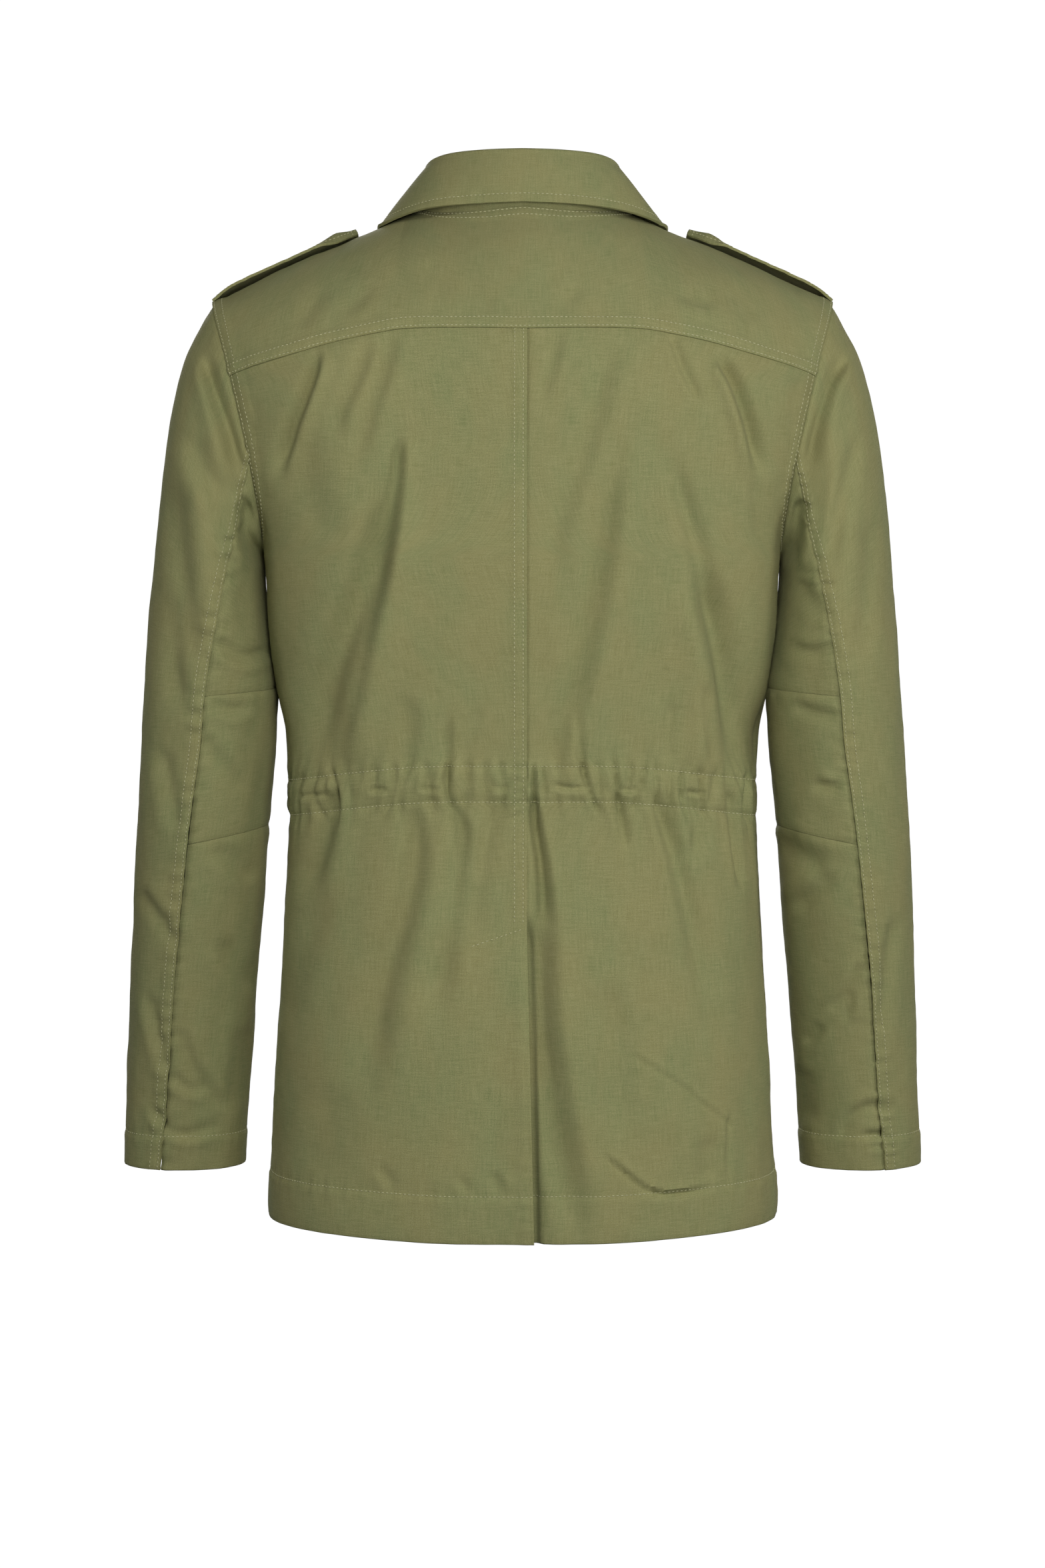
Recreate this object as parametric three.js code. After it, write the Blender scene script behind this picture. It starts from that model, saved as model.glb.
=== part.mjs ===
// Safari jacket in cotton twill, filled out as if worn. Millimetres, +Z up.
// The front faces -Y and +X is the wearer's left. The origin lies on the centre line
// between front and back, at the height of the neck points.
import * as THREE from "three";

// Driving dimensions
const CLOTH = 1.7; // thickness of every cloth wall
const SEAM_GAP = 0.4; // between two pieces sewn edge to edge
const LAYER_GAP = 0.6; // between a piece and the cloth it lies on
const ARMHOLE = { topX: 231, topZ: -69, bottomX: 190, bottomZ: -255, depth: 72, hollow: 6 };
const SHOULDER = { top: 29.05, fall: 97.9, round: 0.069 }; // height of the shoulder line
const CHEST = { back: 118, front: 112, square: 3.3 };
const NECK = { side: 80, back: 60, front: 100 }; // half width and depths of the neckline
const FORWARD_SEAM_Y = -20; // the yoke meets the fronts this far ahead of the shoulder line
const WAIST = { z: -423, half: 13, drop: 15, bulge: 1.4 }; // the drawstring tunnel
const HEM_Z = -755;
const HEM_STITCH_Z = -722;
const VENT_Z = -526;
const CENTRE_SEAM_X = -3.1;
const VENT_HEM_X = -8.4; // where the vent's upper edge ends at the hem
const UNDERLAP = { width: 41, sink: 2.4, rampFrom: -35, rampTo: -12, above: 20 };
const FRONT = { leftPast: 17, rightPast: 14, sink: 2.4, rampFrom: 20, rampTo: 45 };
const PLACKET = { half: 16.6, topZ: -84 };
const COLLAR = { rollRadius: 3, rise: 9, clearance: 3.2 };
const EPAULETTE = { forward: 14, thick: 2.2, buttonX: 130, buttonReach: 5 };
const BUTTON = { radius: 9, thick: 3.2, small: 7.5, smallThick: 2.6, firstZ: -100, pitch: 95, count: 6 };

const CHEST_Z = (ARMHOLE.topZ + ARMHOLE.bottomZ) / 2;
const ARMHOLE_HALF = (ARMHOLE.topZ - ARMHOLE.bottomZ) / 2;
const BACK = 1;
const FRONT_FACE = -1;

// Torso sections below the chest: half width at the side seam, depth behind and in front of
// the centre line, and the exponent of the rounded rectangle
const BODY = [
  { z: -162, side: 205, back: 118, front: 112, square: 3.3 },
  { z: -255, side: 190, back: 118, front: 112, square: 3.3 },
  { z: -309, side: 187, back: 115.5, front: 110, square: 3.1 },
  { z: -355, side: 181.5, back: 112, front: 108, square: 2.9 },
  { z: -386, side: 178, back: 110, front: 107, square: 2.75 },
  { z: -430, side: 175.6, back: 108.5, front: 106.5, square: 2.6 },
  { z: -453, side: 175.8, back: 109, front: 107, square: 2.55 },
  { z: -500, side: 178.5, back: 113, front: 109.5, square: 2.5 },
  { z: -550, side: 181.5, back: 117.5, front: 112.5, square: 2.45 },
  { z: -600, side: 184.5, back: 122, front: 116, square: 2.45 },
  { z: -650, side: 187.5, back: 125.5, front: 119, square: 2.45 },
  { z: -700, side: 190, back: 128.5, front: 121.5, square: 2.45 },
  { z: -735, side: 192.5, back: 130, front: 123, square: 2.45 },
  { z: -755, side: 192.5, back: 130.5, front: 123, square: 2.45 },
];

// The yoke's curved seam across the back, from the centre out
const YOKE_SEAM = [
  { x: 0, z: -92.5 },
  { x: 40, z: -91.8 },
  { x: 86, z: -92.6 },
  { x: 111, z: -96.6 },
  { x: 137, z: -102.1 },
  { x: 162, z: -109 },
  { x: 188, z: -116.2 },
  { x: 202, z: -120.5 },
  { x: 218, z: -127 },
];

// Rows of the back and front panels below the chest. follow says how much of the waist's
// drop towards the side seams a row takes.
const PANEL_ROWS = [
  { z: -162, follow: 0 },
  { z: -200, follow: 0 },
  { z: -235, follow: 0 },
  { z: -255, follow: 0 },
  { z: -310, follow: 0 },
  { z: -365, follow: 0.4 },
  { z: -402, follow: 1 },
  { z: -410, follow: 1 },
  { z: -423, follow: 1 },
  { z: -436, follow: 1 },
  { z: -447, follow: 1 },
  { z: -480, follow: 0.5 },
  { z: VENT_Z, follow: 0 },
  { z: -610, follow: 0 },
  { z: HEM_STITCH_Z, follow: 0 },
  { z: HEM_Z, follow: 0 },
];
const BACK_UPPER_ROWS = [1, 0.5]; // share of the way from the chest up to the yoke seam
const FRONT_UPPER_ROWS = [0, 0.25, 0.5, 0.75]; // share of the way down to the chest

// Gathers in the waist tunnel. at is measured round the cloth from the centre line,
// positive towards the wearer's left.
const BACK_GATHERS = [
  { at: 178, depth: 2.6, width: 4 },
  { at: 154, depth: 2.6, width: 4 },
  { at: 136, depth: 3.6, width: 4.5 },
  { at: 92, depth: 2.2, width: 3.5 },
  { at: 84, depth: 2.2, width: 3.5 },
  { at: 66, depth: 2.4, width: 4 },
  { at: 52, depth: 3.4, width: 4.5 },
  { at: 12.5, depth: 2.2, width: 4 },
  { at: -8.5, depth: 3.4, width: 3.5 },
  { at: -26, depth: 2.4, width: 4 },
  { at: -39, depth: 2.8, width: 4 },
  { at: -52, depth: 2.4, width: 4 },
  { at: -65, depth: 2.8, width: 4 },
  { at: -74.5, depth: 2.2, width: 3.5 },
  { at: -82, depth: 2.2, width: 3.5 },
  { at: -96.5, depth: 2.2, width: 4 },
  { at: -107, depth: 2.8, width: 4 },
  { at: -118.5, depth: 2.2, width: 4 },
  { at: -127.5, depth: 2.6, width: 3.5 },
  { at: -149, depth: 2.2, width: 4 },
  { at: -168, depth: 3.6, width: 4.5 },
];
const FRONT_GATHERS = [
  { at: 172, depth: 3.2, width: 4.5 },
  { at: 148, depth: 2.4, width: 4 },
  { at: 122, depth: 3, width: 4 },
  { at: 99, depth: 2.2, width: 4 },
  { at: 80, depth: 3, width: 4 },
  { at: 62, depth: 2.2, width: 4 },
  { at: 45, depth: 2.8, width: 4 },
  { at: -45, depth: 2.4, width: 4 },
  { at: -62, depth: 3, width: 4 },
  { at: -80, depth: 2.2, width: 4 },
  { at: -99, depth: 2.8, width: 4 },
  { at: -122, depth: 2.2, width: 4 },
  { at: -148, depth: 3, width: 4 },
  { at: -172, depth: 2.8, width: 4.5 },
];

// Soft troughs in the panels, each a straight stretch in x and z
const BACK_FOLDS = [
  { fromX: 149, fromZ: -111, toX: 175, toZ: -176, width: 13, depth: 3.4 },
  { fromX: 175, fromZ: -176, toX: 186, toZ: -226, width: 13, depth: 3.4 },
  { fromX: 98, fromZ: -104, toX: 124, toZ: -177, width: 12, depth: 2 },
  { fromX: -110, fromZ: -102, toX: -124, toZ: -133, width: 12, depth: 1.8 },
  { fromX: -142, fromZ: -111, toX: -168, toZ: -150, width: 12, depth: 3.4 },
  { fromX: -168, fromZ: -150, toX: -176, toZ: -200, width: 12, depth: 3.4 },
  { fromX: -61, fromZ: -119, toX: -54, toZ: -234, width: 18, depth: 1.6 },
  { fromX: -50, fromZ: -256, toX: -41, toZ: -325, width: 16, depth: 2.4 },
  { fromX: -41, fromZ: -325, toX: -22, toZ: -394, width: 14, depth: 2.4 },
  { fromX: 150, fromZ: -330, toX: 140, toZ: -400, width: 12, depth: 2.6 },
  { fromX: -140, fromZ: -330, toX: -162, toZ: -395, width: 14, depth: 2.6 },
  { fromX: -17, fromZ: -450, toX: -33, toZ: -507, width: 14, depth: 4 },
  { fromX: -33, fromZ: -507, toX: -42, toZ: -705, width: 18, depth: 4 },
  { fromX: 134, fromZ: -457, toX: 152, toZ: -540, width: 14, depth: 3 },
  { fromX: 43, fromZ: -445, toX: 72, toZ: -535, width: 14, depth: 2.6 },
  { fromX: -105, fromZ: -457, toX: -122, toZ: -537, width: 14, depth: 2.6 },
  { fromX: -151, fromZ: -458, toX: -162, toZ: -567, width: 14, depth: 3 },
  { fromX: -72, fromZ: -699, toX: -120, toZ: -720, width: 12, depth: 2.6 },
];
const FRONT_FOLDS = [
  { fromX: 150, fromZ: -120, toX: 176, toZ: -205, width: 13, depth: 3.2 },
  { fromX: -148, fromZ: -124, toX: -174, toZ: -198, width: 13, depth: 3.2 },
  { fromX: 70, fromZ: -200, toX: 92, toZ: -395, width: 18, depth: 2.4 },
  { fromX: -86, fromZ: -230, toX: -66, toZ: -400, width: 18, depth: 2.4 },
  { fromX: 120, fromZ: -452, toX: 138, toZ: -600, width: 16, depth: 3 },
  { fromX: 58, fromZ: -452, toX: 66, toZ: -560, width: 14, depth: 2.4 },
  { fromX: -62, fromZ: -455, toX: -76, toZ: -620, width: 16, depth: 3 },
  { fromX: -126, fromZ: -452, toX: -140, toZ: -545, width: 14, depth: 2.6 },
];

// Sleeve sections from the armhole to the cuff. out and in are the outer and inner ends of
// each ring seen from behind, depth is half its size front to back, y its centre, and the
// seams are angles round the ring from its outer end, over the back.
const SLEEVE_RINGS = [
  { ring: 0, outX: 231, outZ: -69, inX: 190, inZ: -255, depth: 72, y: 0, hollow: 6, backSeam: 106, frontSeam: 236 },
  { ring: 1, outX: 239.4, outZ: -86, inX: 191, inZ: -259, depth: 73.5, y: 0, hollow: 4, backSeam: 111, frontSeam: 235 },
  { ring: 2, outX: 250.7, outZ: -108, inX: 192, inZ: -264, depth: 75, y: 0, hollow: 2, backSeam: 116.5, frontSeam: 235 },
  { ring: 3, outX: 259.2, outZ: -138, inX: 192, inZ: -271, depth: 75.5, y: 0, hollow: 0, backSeam: 118, frontSeam: 234 },
  { ring: 4, outX: 266, outZ: -175, inX: 191.6, inZ: -281, depth: 75, y: 1, hollow: 0, backSeam: 115, frontSeam: 233 },
  { ring: 5, outX: 271, outZ: -213, inX: 191, inZ: -295, depth: 74, y: 2, hollow: 0, backSeam: 110.5, frontSeam: 232 },
  { ring: 6, outX: 275.5, outZ: -256, inX: 190, inZ: -312, depth: 72, y: 3, hollow: 0, backSeam: 105, frontSeam: 231 },
  { ring: 7, outX: 280, outZ: -309, inX: 188, inZ: -333, depth: 69, y: 4, hollow: 0, backSeam: 98.5, frontSeam: 230 },
  { ring: 8, outX: 284, outZ: -364, inX: 185, inZ: -356, depth: 65, y: 4.5, hollow: 0, backSeam: 92, frontSeam: 229 },
  { ring: 9, outX: 286.4, outZ: -400, inX: 184, inZ: -390, depth: 62, y: 4, hollow: 0, backSeam: 89, frontSeam: 228 },
  { ring: 10, outX: 289.4, outZ: -440, inX: 187.2, inZ: -424, depth: 60, y: 2, hollow: 0, backSeam: 86, frontSeam: 227 },
  { ring: 11, outX: 291.5, outZ: -479, inX: 190.5, inZ: -459, depth: 58, y: -1, hollow: 0, backSeam: 83, frontSeam: 226 },
  { ring: 12, outX: 293.5, outZ: -515, inX: 194.3, inZ: -507, depth: 56, y: -5, hollow: 0, backSeam: 80.5, frontSeam: 225 },
  { ring: 13, outX: 295.5, outZ: -552, inX: 198.1, inZ: -550, depth: 54, y: -10, hollow: 0, backSeam: 78.5, frontSeam: 224 },
  { ring: 14, outX: 297.7, outZ: -592, inX: 201.7, inZ: -592, depth: 52, y: -15, hollow: 0, backSeam: 77, frontSeam: 223 },
  { ring: 15, outX: 299.6, outZ: -632, inX: 204.8, inZ: -632, depth: 50.5, y: -19, hollow: 0, backSeam: 76, frontSeam: 222 },
  { ring: 16, outX: 301.1, outZ: -670, inX: 207.5, inZ: -670, depth: 49, y: -22.5, hollow: 0, backSeam: 74.5, frontSeam: 221 },
  { ring: 17, outX: 301.9, outZ: -692.4, inX: 209, inZ: -692.4, depth: 48, y: -24, hollow: 0, backSeam: 72, frontSeam: 221 },
  { ring: 18, outX: 302.5, outZ: -717, inX: 210.6, inZ: -717, depth: 47, y: -26, hollow: 0, backSeam: 70, frontSeam: 220 },
];
const ELBOW = { top: 8, bottom: 11, gap: 0.005 }; // rings of the elbow panel's two seams
const SLEEVE_ROWS = [0, 1, 2, 3, 4, 5, 6, 7, 8, 9.5, 11, 12.5, 14, 15.5, 17, 18];
const RING_PITCH = 38; // usual distance between rings
const DEGREE_LENGTH = 0.95; // cloth in one degree of a ring

// Soft troughs in a sleeve, from one ring and angle to another
const SLEEVE_FOLDS = [
  { fromRing: 1.5, fromAngle: 76, toRing: 4.5, toAngle: 74, width: 10, depth: 2.6 },
  { fromRing: 5.6, fromAngle: 118, toRing: 7.4, toAngle: 146, width: 13, depth: 2.6 },
  { fromRing: 9, fromAngle: 142, toRing: 10.4, toAngle: 112, width: 13, depth: 2.4 },
  { fromRing: 12, fromAngle: 58, toRing: 13.6, toAngle: 96, width: 13, depth: 2.2 },
  { fromRing: 8.4, fromAngle: 236, toRing: 9.6, toAngle: 286, width: 15, depth: 3 },
  { fromRing: 10.6, fromAngle: 222, toRing: 11.8, toAngle: 262, width: 14, depth: 2.4 },
];

// Collar, by angle round the neck from the centre back. The leaf's outer edge stands out
// from the neckline by out, at its own angle, because the front ends sweep to a point.
const COLLAR_ROWS = [
  { angle: 0, crestZ: 40.2, edgeAngle: 0, out: 7.5, edgeZ: 0.7 },
  { angle: 26, crestZ: 39.6, edgeAngle: 26, out: 10, edgeZ: -0.6 },
  { angle: 52, crestZ: 38.1, edgeAngle: 52, out: 17, edgeZ: -4 },
  { angle: 73, crestZ: 34.9, edgeAngle: 73, out: 23.5, edgeZ: -9.5 },
  { angle: 90, crestZ: 30, edgeAngle: 90, out: 26.5, edgeZ: -14 },
  { angle: 110, crestZ: 19, edgeAngle: 108, out: 29.2, edgeZ: -29 },
  { angle: 130, crestZ: 0, edgeAngle: 124, out: 30, edgeZ: -58 },
  { angle: 150, crestZ: -24, edgeAngle: 139, out: 29, edgeZ: -92 },
  { angle: 168, crestZ: -47, edgeAngle: 153, out: 28, edgeZ: -121 },
];
const CREST = { side: 67, back: 53, front: 90 }; // the roll line seen from above

// Epaulettes: place along the shoulder line, half width, and the height of the upper face
// over the yoke at each stop across the strap, from its front edge to its rear edge
const EPAULETTE_STOPS = [
  { share: -1, lift: "front" },
  { share: -0.35, lift: "low" },
  { share: 0.32, lift: "flat" },
  { share: 0.62, lift: "ridge" },
  { share: 1, lift: "rear" },
];
const EPAULETTE_ROWS = [
  { x: 230, half: 25, front: 2.6, low: 2.6, flat: 2.6, ridge: 2.6, rear: 2.6 },
  { x: 228, half: 25, front: 2.8, low: 2.9, flat: 3, ridge: 3.1, rear: 3.2 },
  { x: 225, half: 25, front: 3, low: 3.5, flat: 3.9, ridge: 4, rear: 4.1 },
  { x: 217, half: 25, front: 3.1, low: 4.3, flat: 5.4, ridge: 5.8, rear: 6.2 },
  { x: 207, half: 25, front: 3.2, low: 4.6, flat: 5.8, ridge: 6.3, rear: 6.8 },
  { x: 190, half: 25, front: 3.2, low: 4.6, flat: 5.8, ridge: 6.4, rear: 6.9 },
  { x: 172, half: 25, front: 3.2, low: 4.6, flat: 5.8, ridge: 6.3, rear: 6.8 },
  { x: 157, half: 25, front: 3.2, low: 4.6, flat: 5.8, ridge: 6.6, rear: 7 },
  { x: 148, half: 25, front: 3.2, low: 4.8, flat: 6.2, ridge: 7.8, rear: 6.8 },
  { x: 140, half: 25, front: 3.2, low: 5.2, flat: 6.2, ridge: 9.4, rear: 4.4 },
  { x: 135, half: 24, front: 3.2, low: 5.2, flat: 6.2, ridge: 9.9, rear: 3.4 },
  { x: 128, half: 18, front: 3.1, low: 4.4, flat: 5.6, ridge: 8.4, rear: 3.2 },
  { x: 121.5, half: 12, front: 3, low: 3.8, flat: 5, ridge: 7.6, rear: 3 },
];

const COLOURS = { cloth: 0x7c7b51, sleeve: 0x6f6e49, collar: 0x7b7d53, button: 0x4a4330 };

// Cubic reading of a table between its rows
function readTable(table, key, value) {
  const last = table.length - 1;
  const direction = Math.sign(table[last][key] - table[0][key]);
  let row = 0;
  while (row < last - 1 && direction * (value - table[row + 1][key]) > 0) row += 1;
  const before = table[Math.max(row - 1, 0)];
  const from = table[row];
  const to = table[row + 1];
  const after = table[Math.min(row + 2, last)];
  const span = to[key] - from[key];
  const t = THREE.MathUtils.clamp((value - from[key]) / span, 0, 1);
  const result = {};
  for (const column of Object.keys(from)) {
    const slopeFrom = (to[column] - before[column]) / (to[key] - before[key]) * span;
    const slopeTo = (after[column] - from[column]) / (after[key] - from[key]) * span;
    result[column] = (2 * t ** 3 - 3 * t ** 2 + 1) * from[column]
      + (t ** 3 - 2 * t ** 2 + t) * slopeFrom
      + (3 * t ** 2 - 2 * t ** 3) * to[column]
      + (t ** 3 - t ** 2) * slopeTo;
  }
  return result;
}

const { lerp, smoothstep, degToRad, radToDeg } = THREE.MathUtils;

// Torso form: above the chest the cloth arches from the chest line over the shoulders,
// and share runs from 0 on the centre line to 1 at the armhole
function armholeX(z) {
  const slope = (ARMHOLE.topX - ARMHOLE.bottomX) / (ARMHOLE.topZ - ARMHOLE.bottomZ);
  const fromMiddle = (z - CHEST_Z) / ARMHOLE_HALF;
  const hollow = ARMHOLE.hollow * Math.max(0, 1 - fromMiddle ** 2);
  return ARMHOLE.topX + (z - ARMHOLE.topZ) * slope - hollow;
}

function armholeDepth(z) {
  const below = Math.min(Math.max((CHEST_Z - z) / ARMHOLE_HALF, 0), 1);
  return ARMHOLE.depth * Math.sqrt(1 - below ** 2);
}

function shoulderRise(share) {
  return SHOULDER.top - SHOULDER.fall * Math.hypot(share, SHOULDER.round) - CHEST_Z;
}

function chestDepth(face, share) {
  const depth = face === BACK ? CHEST.back : CHEST.front;
  const corner = (1 - (ARMHOLE.depth / depth) ** CHEST.square) ** (1 / CHEST.square);
  return depth * (1 - (corner * share) ** CHEST.square) ** (1 / CHEST.square);
}

// Point of the upper torso. The angle is 0 at the back's chest line, a right angle on the
// shoulder line and pi at the front's chest line.
function upperPoint(share, angle) {
  const face = angle <= Math.PI / 2 ? BACK : FRONT_FACE;
  const z = CHEST_Z + shoulderRise(Math.abs(share)) * Math.sin(angle);
  const y = chestDepth(face, Math.abs(share)) * Math.cos(angle);
  return new THREE.Vector3(share * armholeX(z), y, z);
}

// Share and angle of the upper torso under a point seen from above
function upperPlace(x, y) {
  const face = y >= 0 ? BACK : FRONT_FACE;
  let z = 0;
  let share = 0;
  let cosine = 0;
  for (let pass = 0; pass < 12; pass += 1) {
    share = x / armholeX(z);
    cosine = y / chestDepth(face, Math.abs(share));
    z = CHEST_Z + shoulderRise(Math.abs(share)) * Math.sqrt(1 - cosine ** 2);
  }
  return { share, angle: Math.acos(cosine) };
}

function sectionSize(face, z) {
  const row = readTable(BODY, "z", z);
  const depth = face === BACK ? row.back : row.front;
  let side = row.side;
  if (z > ARMHOLE.bottomZ) {
    const edge = (armholeDepth(z) / depth) ** row.square;
    side = armholeX(z) / (1 - edge) ** (1 / row.square);
  }
  return { side, depth, square: row.square };
}

// Half a section of the lower torso as a curve, from the centre line to its edge
const SECTION_STEPS = 32;
const sectionCurves = new Map();
function sectionCurve(face, z) {
  const key = `${face} ${z.toFixed(3)}`;
  if (!sectionCurves.has(key)) {
    const { side, depth, square } = sectionSize(face, z);
    const inArmhole = z > ARMHOLE.bottomZ;
    const end = inArmhole ? Math.atan2(armholeX(z), armholeDepth(z)) : Math.PI / 2;
    const points = [];
    for (let step = 0; step <= SECTION_STEPS; step += 1) {
      const turn = end * step / SECTION_STEPS;
      const across = (Math.sin(turn) / side) ** square;
      const along = (Math.max(Math.cos(turn), 0) / depth) ** square;
      const radius = (across + along) ** (-1 / square);
      points.push(new THREE.Vector2(radius * Math.sin(turn), face * radius * Math.cos(turn)));
    }
    sectionCurves.set(key, new THREE.SplineCurve(points));
  }
  return sectionCurves.get(key);
}

function lowerPoint(face, distance, z) {
  const curve = sectionCurve(face, z);
  const share = Math.min(Math.abs(distance) / curve.getLength(), 1);
  const point = curve.getPointAt(share);
  return new THREE.Vector3(Math.sign(distance) * point.x, point.y, z);
}

// Zero on the torso form, positive outside it
function torsoField(point) {
  const face = point.y >= 0 ? BACK : FRONT_FACE;
  const x = Math.abs(point.x);
  if (point.z > CHEST_Z) {
    const share = x / armholeX(point.z);
    const rise = (point.z - CHEST_Z) / shoulderRise(share);
    return (point.y / chestDepth(face, share)) ** 2 + rise ** 2 - 1;
  }
  const { side, depth, square } = sectionSize(face, point.z);
  return (x / side) ** square + (Math.abs(point.y) / depth) ** square - 1;
}

function torsoGradient(point) {
  const step = 0.05;
  const gradient = new THREE.Vector3();
  for (const axis of ["x", "y", "z"]) {
    const ahead = point.clone();
    const behind = point.clone();
    ahead[axis] += step;
    behind[axis] -= step;
    gradient[axis] = (torsoField(ahead) - torsoField(behind)) / (2 * step);
  }
  return gradient;
}

function torsoNormal(point) {
  return torsoGradient(point).normalize();
}

// Moves a point out of the torso until it stands clear of it
function standClear(point, clearance) {
  for (let pass = 0; pass < 3; pass += 1) {
    const gradient = torsoGradient(point);
    const distance = torsoField(point) / gradient.length();
    if (distance < clearance) point.addScaledVector(gradient.normalize(), clearance - distance);
  }
  return point;
}

// Depth of the torso form at a place seen from the front or back
function torsoY(face, x, z) {
  if (z > CHEST_Z) {
    const share = Math.abs(x) / armholeX(z);
    const rise = (z - CHEST_Z) / shoulderRise(share);
    return face * chestDepth(face, share) * Math.sqrt(1 - rise ** 2);
  }
  const { side, depth, square } = sectionSize(face, z);
  return face * depth * (1 - (Math.abs(x) / side) ** square) ** (1 / square);
}

// Relief of the cloth: the tunnel's bulge, its gathers and the folds
function waistDrop(distance) {
  return WAIST.drop * smoothstep(Math.abs(distance), 50, 230);
}

function segmentDistance(x, z, fold) {
  const line = new THREE.Line3(
    new THREE.Vector3(fold.fromX, 0, fold.fromZ),
    new THREE.Vector3(fold.toX, 0, fold.toZ),
  );
  const point = new THREE.Vector3(x, 0, z);
  return line.closestPointToPoint(point, true, new THREE.Vector3()).distanceTo(point);
}

function hollowAt(distance, width) {
  return Math.exp(-((distance / width) ** 2));
}

function relief(face, distance, point, toEdge) {
  const fromWaist = point.z - WAIST.z + waistDrop(distance);
  const bulge = WAIST.bulge * Math.max(0, 1 - (fromWaist / WAIST.half) ** 2);
  const reach = hollowAt(fromWaist, 17) + 0.4 * hollowAt(fromWaist, 45);
  let gather = 0;
  for (const row of face === BACK ? BACK_GATHERS : FRONT_GATHERS) {
    gather = Math.max(gather, row.depth * reach * hollowAt(distance - row.at, row.width));
  }
  let fold = 0;
  for (const row of face === BACK ? BACK_FOLDS : FRONT_FOLDS) {
    const away = segmentDistance(point.x, point.z, row);
    fold = Math.max(fold, row.depth * hollowAt(away, row.width));
  }
  return bulge - smoothstep(toEdge, 0, 14) * (gather + fold);
}

// One point through the thickness of a piece, lifted off the form by lift
function layer(point, normal, lift, thick = CLOTH) {
  return {
    outer: point.clone().addScaledVector(normal, lift),
    inner: point.clone().addScaledVector(normal, lift - thick),
  };
}

// Closed wall through a grid of layers. keep says which cells of the grid the cloth fills.
function wall(grid, keep = () => true) {
  const rows = grid.length;
  const columns = grid[0].length;
  const positions = [];
  const index = [];
  const numbers = new Map();
  const corner = (row, column, face) => {
    const key = (row * columns + column) * 2 + (face === "outer" ? 0 : 1);
    if (!numbers.has(key)) {
      numbers.set(key, positions.length / 3);
      positions.push(...grid[row][column][face].toArray());
    }
    return numbers.get(key);
  };
  const quad = (a, b, c, d) => index.push(a, b, c, a, c, d);
  const kept = (row, column) => row >= 0 && column >= 0 && row < rows - 1
    && column < columns - 1 && keep(row, column);
  const edge = (row, column, nextRow, nextColumn) => quad(
    corner(nextRow, nextColumn, "outer"),
    corner(row, column, "outer"),
    corner(row, column, "inner"),
    corner(nextRow, nextColumn, "inner"),
  );
  for (let row = 0; row < rows - 1; row += 1) {
    for (let column = 0; column < columns - 1; column += 1) {
      if (!kept(row, column)) continue;
      quad(corner(row, column, "outer"), corner(row, column + 1, "outer"),
        corner(row + 1, column + 1, "outer"), corner(row + 1, column, "outer"));
      quad(corner(row, column, "inner"), corner(row + 1, column, "inner"),
        corner(row + 1, column + 1, "inner"), corner(row, column + 1, "inner"));
      if (!kept(row - 1, column)) edge(row, column, row, column + 1);
      if (!kept(row, column + 1)) edge(row, column + 1, row + 1, column + 1);
      if (!kept(row + 1, column)) edge(row + 1, column + 1, row + 1, column);
      if (!kept(row, column - 1)) edge(row + 1, column, row, column);
    }
  }
  if (enclosedVolume(positions, index) < 0) index.reverse();
  const geometry = new THREE.BufferGeometry();
  geometry.setAttribute("position", new THREE.Float32BufferAttribute(positions, 3));
  geometry.setIndex(index);
  geometry.computeVertexNormals();
  return geometry;
}

function enclosedVolume(positions, index) {
  const at = (number) => new THREE.Vector3().fromArray(positions, number * 3);
  let volume = 0;
  for (let i = 0; i < index.length; i += 3) {
    volume += at(index[i]).dot(at(index[i + 1]).cross(at(index[i + 2]))) / 6;
  }
  return volume;
}

const jacket = new THREE.Group();

function addPiece(name, geometry, colour, roughness = 0.9) {
  const material = new THREE.MeshStandardMaterial({ color: colour, roughness, metalness: 0 });
  const mesh = new THREE.Mesh(geometry, material);
  mesh.name = name;
  jacket.add(mesh);
  return mesh;
}

// Places of a panel's columns at the waist: one at each gather and enough between them
function columnPlaces(start, end, gathers) {
  const stops = [start, ...gathers, end];
  const places = [start];
  for (let stop = 1; stop < stops.length; stop += 1) {
    const from = stops[stop - 1];
    const to = stops[stop];
    const gap = to - from;
    if (gap > 30) places.push(from + 5, (from + to) / 2, to - 5);
    else if (gap > 16) places.push(from + 5, to - 5);
    else if (gap > 6) places.push((from + to) / 2);
    places.push(to);
  }
  return places;
}

function gathersOnSide(gathers, side) {
  const places = gathers.map((row) => side * row.at).filter((at) => at > 0);
  return places.sort((a, b) => a - b);
}

// Back panels
function yokeSeamZ(x) {
  return readTable(YOKE_SEAM, "x", Math.abs(x)).z;
}

function yokeSeamAngle(share, shift) {
  let z = YOKE_SEAM[0].z;
  for (let pass = 0; pass < 6; pass += 1) z = yokeSeamZ(share * armholeX(z)) + shift;
  return Math.asin((z - CHEST_Z) / shoulderRise(Math.abs(share)));
}

function centreEdgeX(side, z) {
  if (side < 0 || z > VENT_Z) return CENTRE_SEAM_X;
  return lerp(CENTRE_SEAM_X, VENT_HEM_X, (VENT_Z - z) / (VENT_Z - HEM_Z));
}

function underlapSink(side, x, z) {
  if (side > 0) return 0;
  const across = smoothstep(x, UNDERLAP.rampFrom, UNDERLAP.rampTo);
  const down = smoothstep(VENT_Z + UNDERLAP.above - z, 0, UNDERLAP.above);
  return UNDERLAP.sink * across * down;
}

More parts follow.
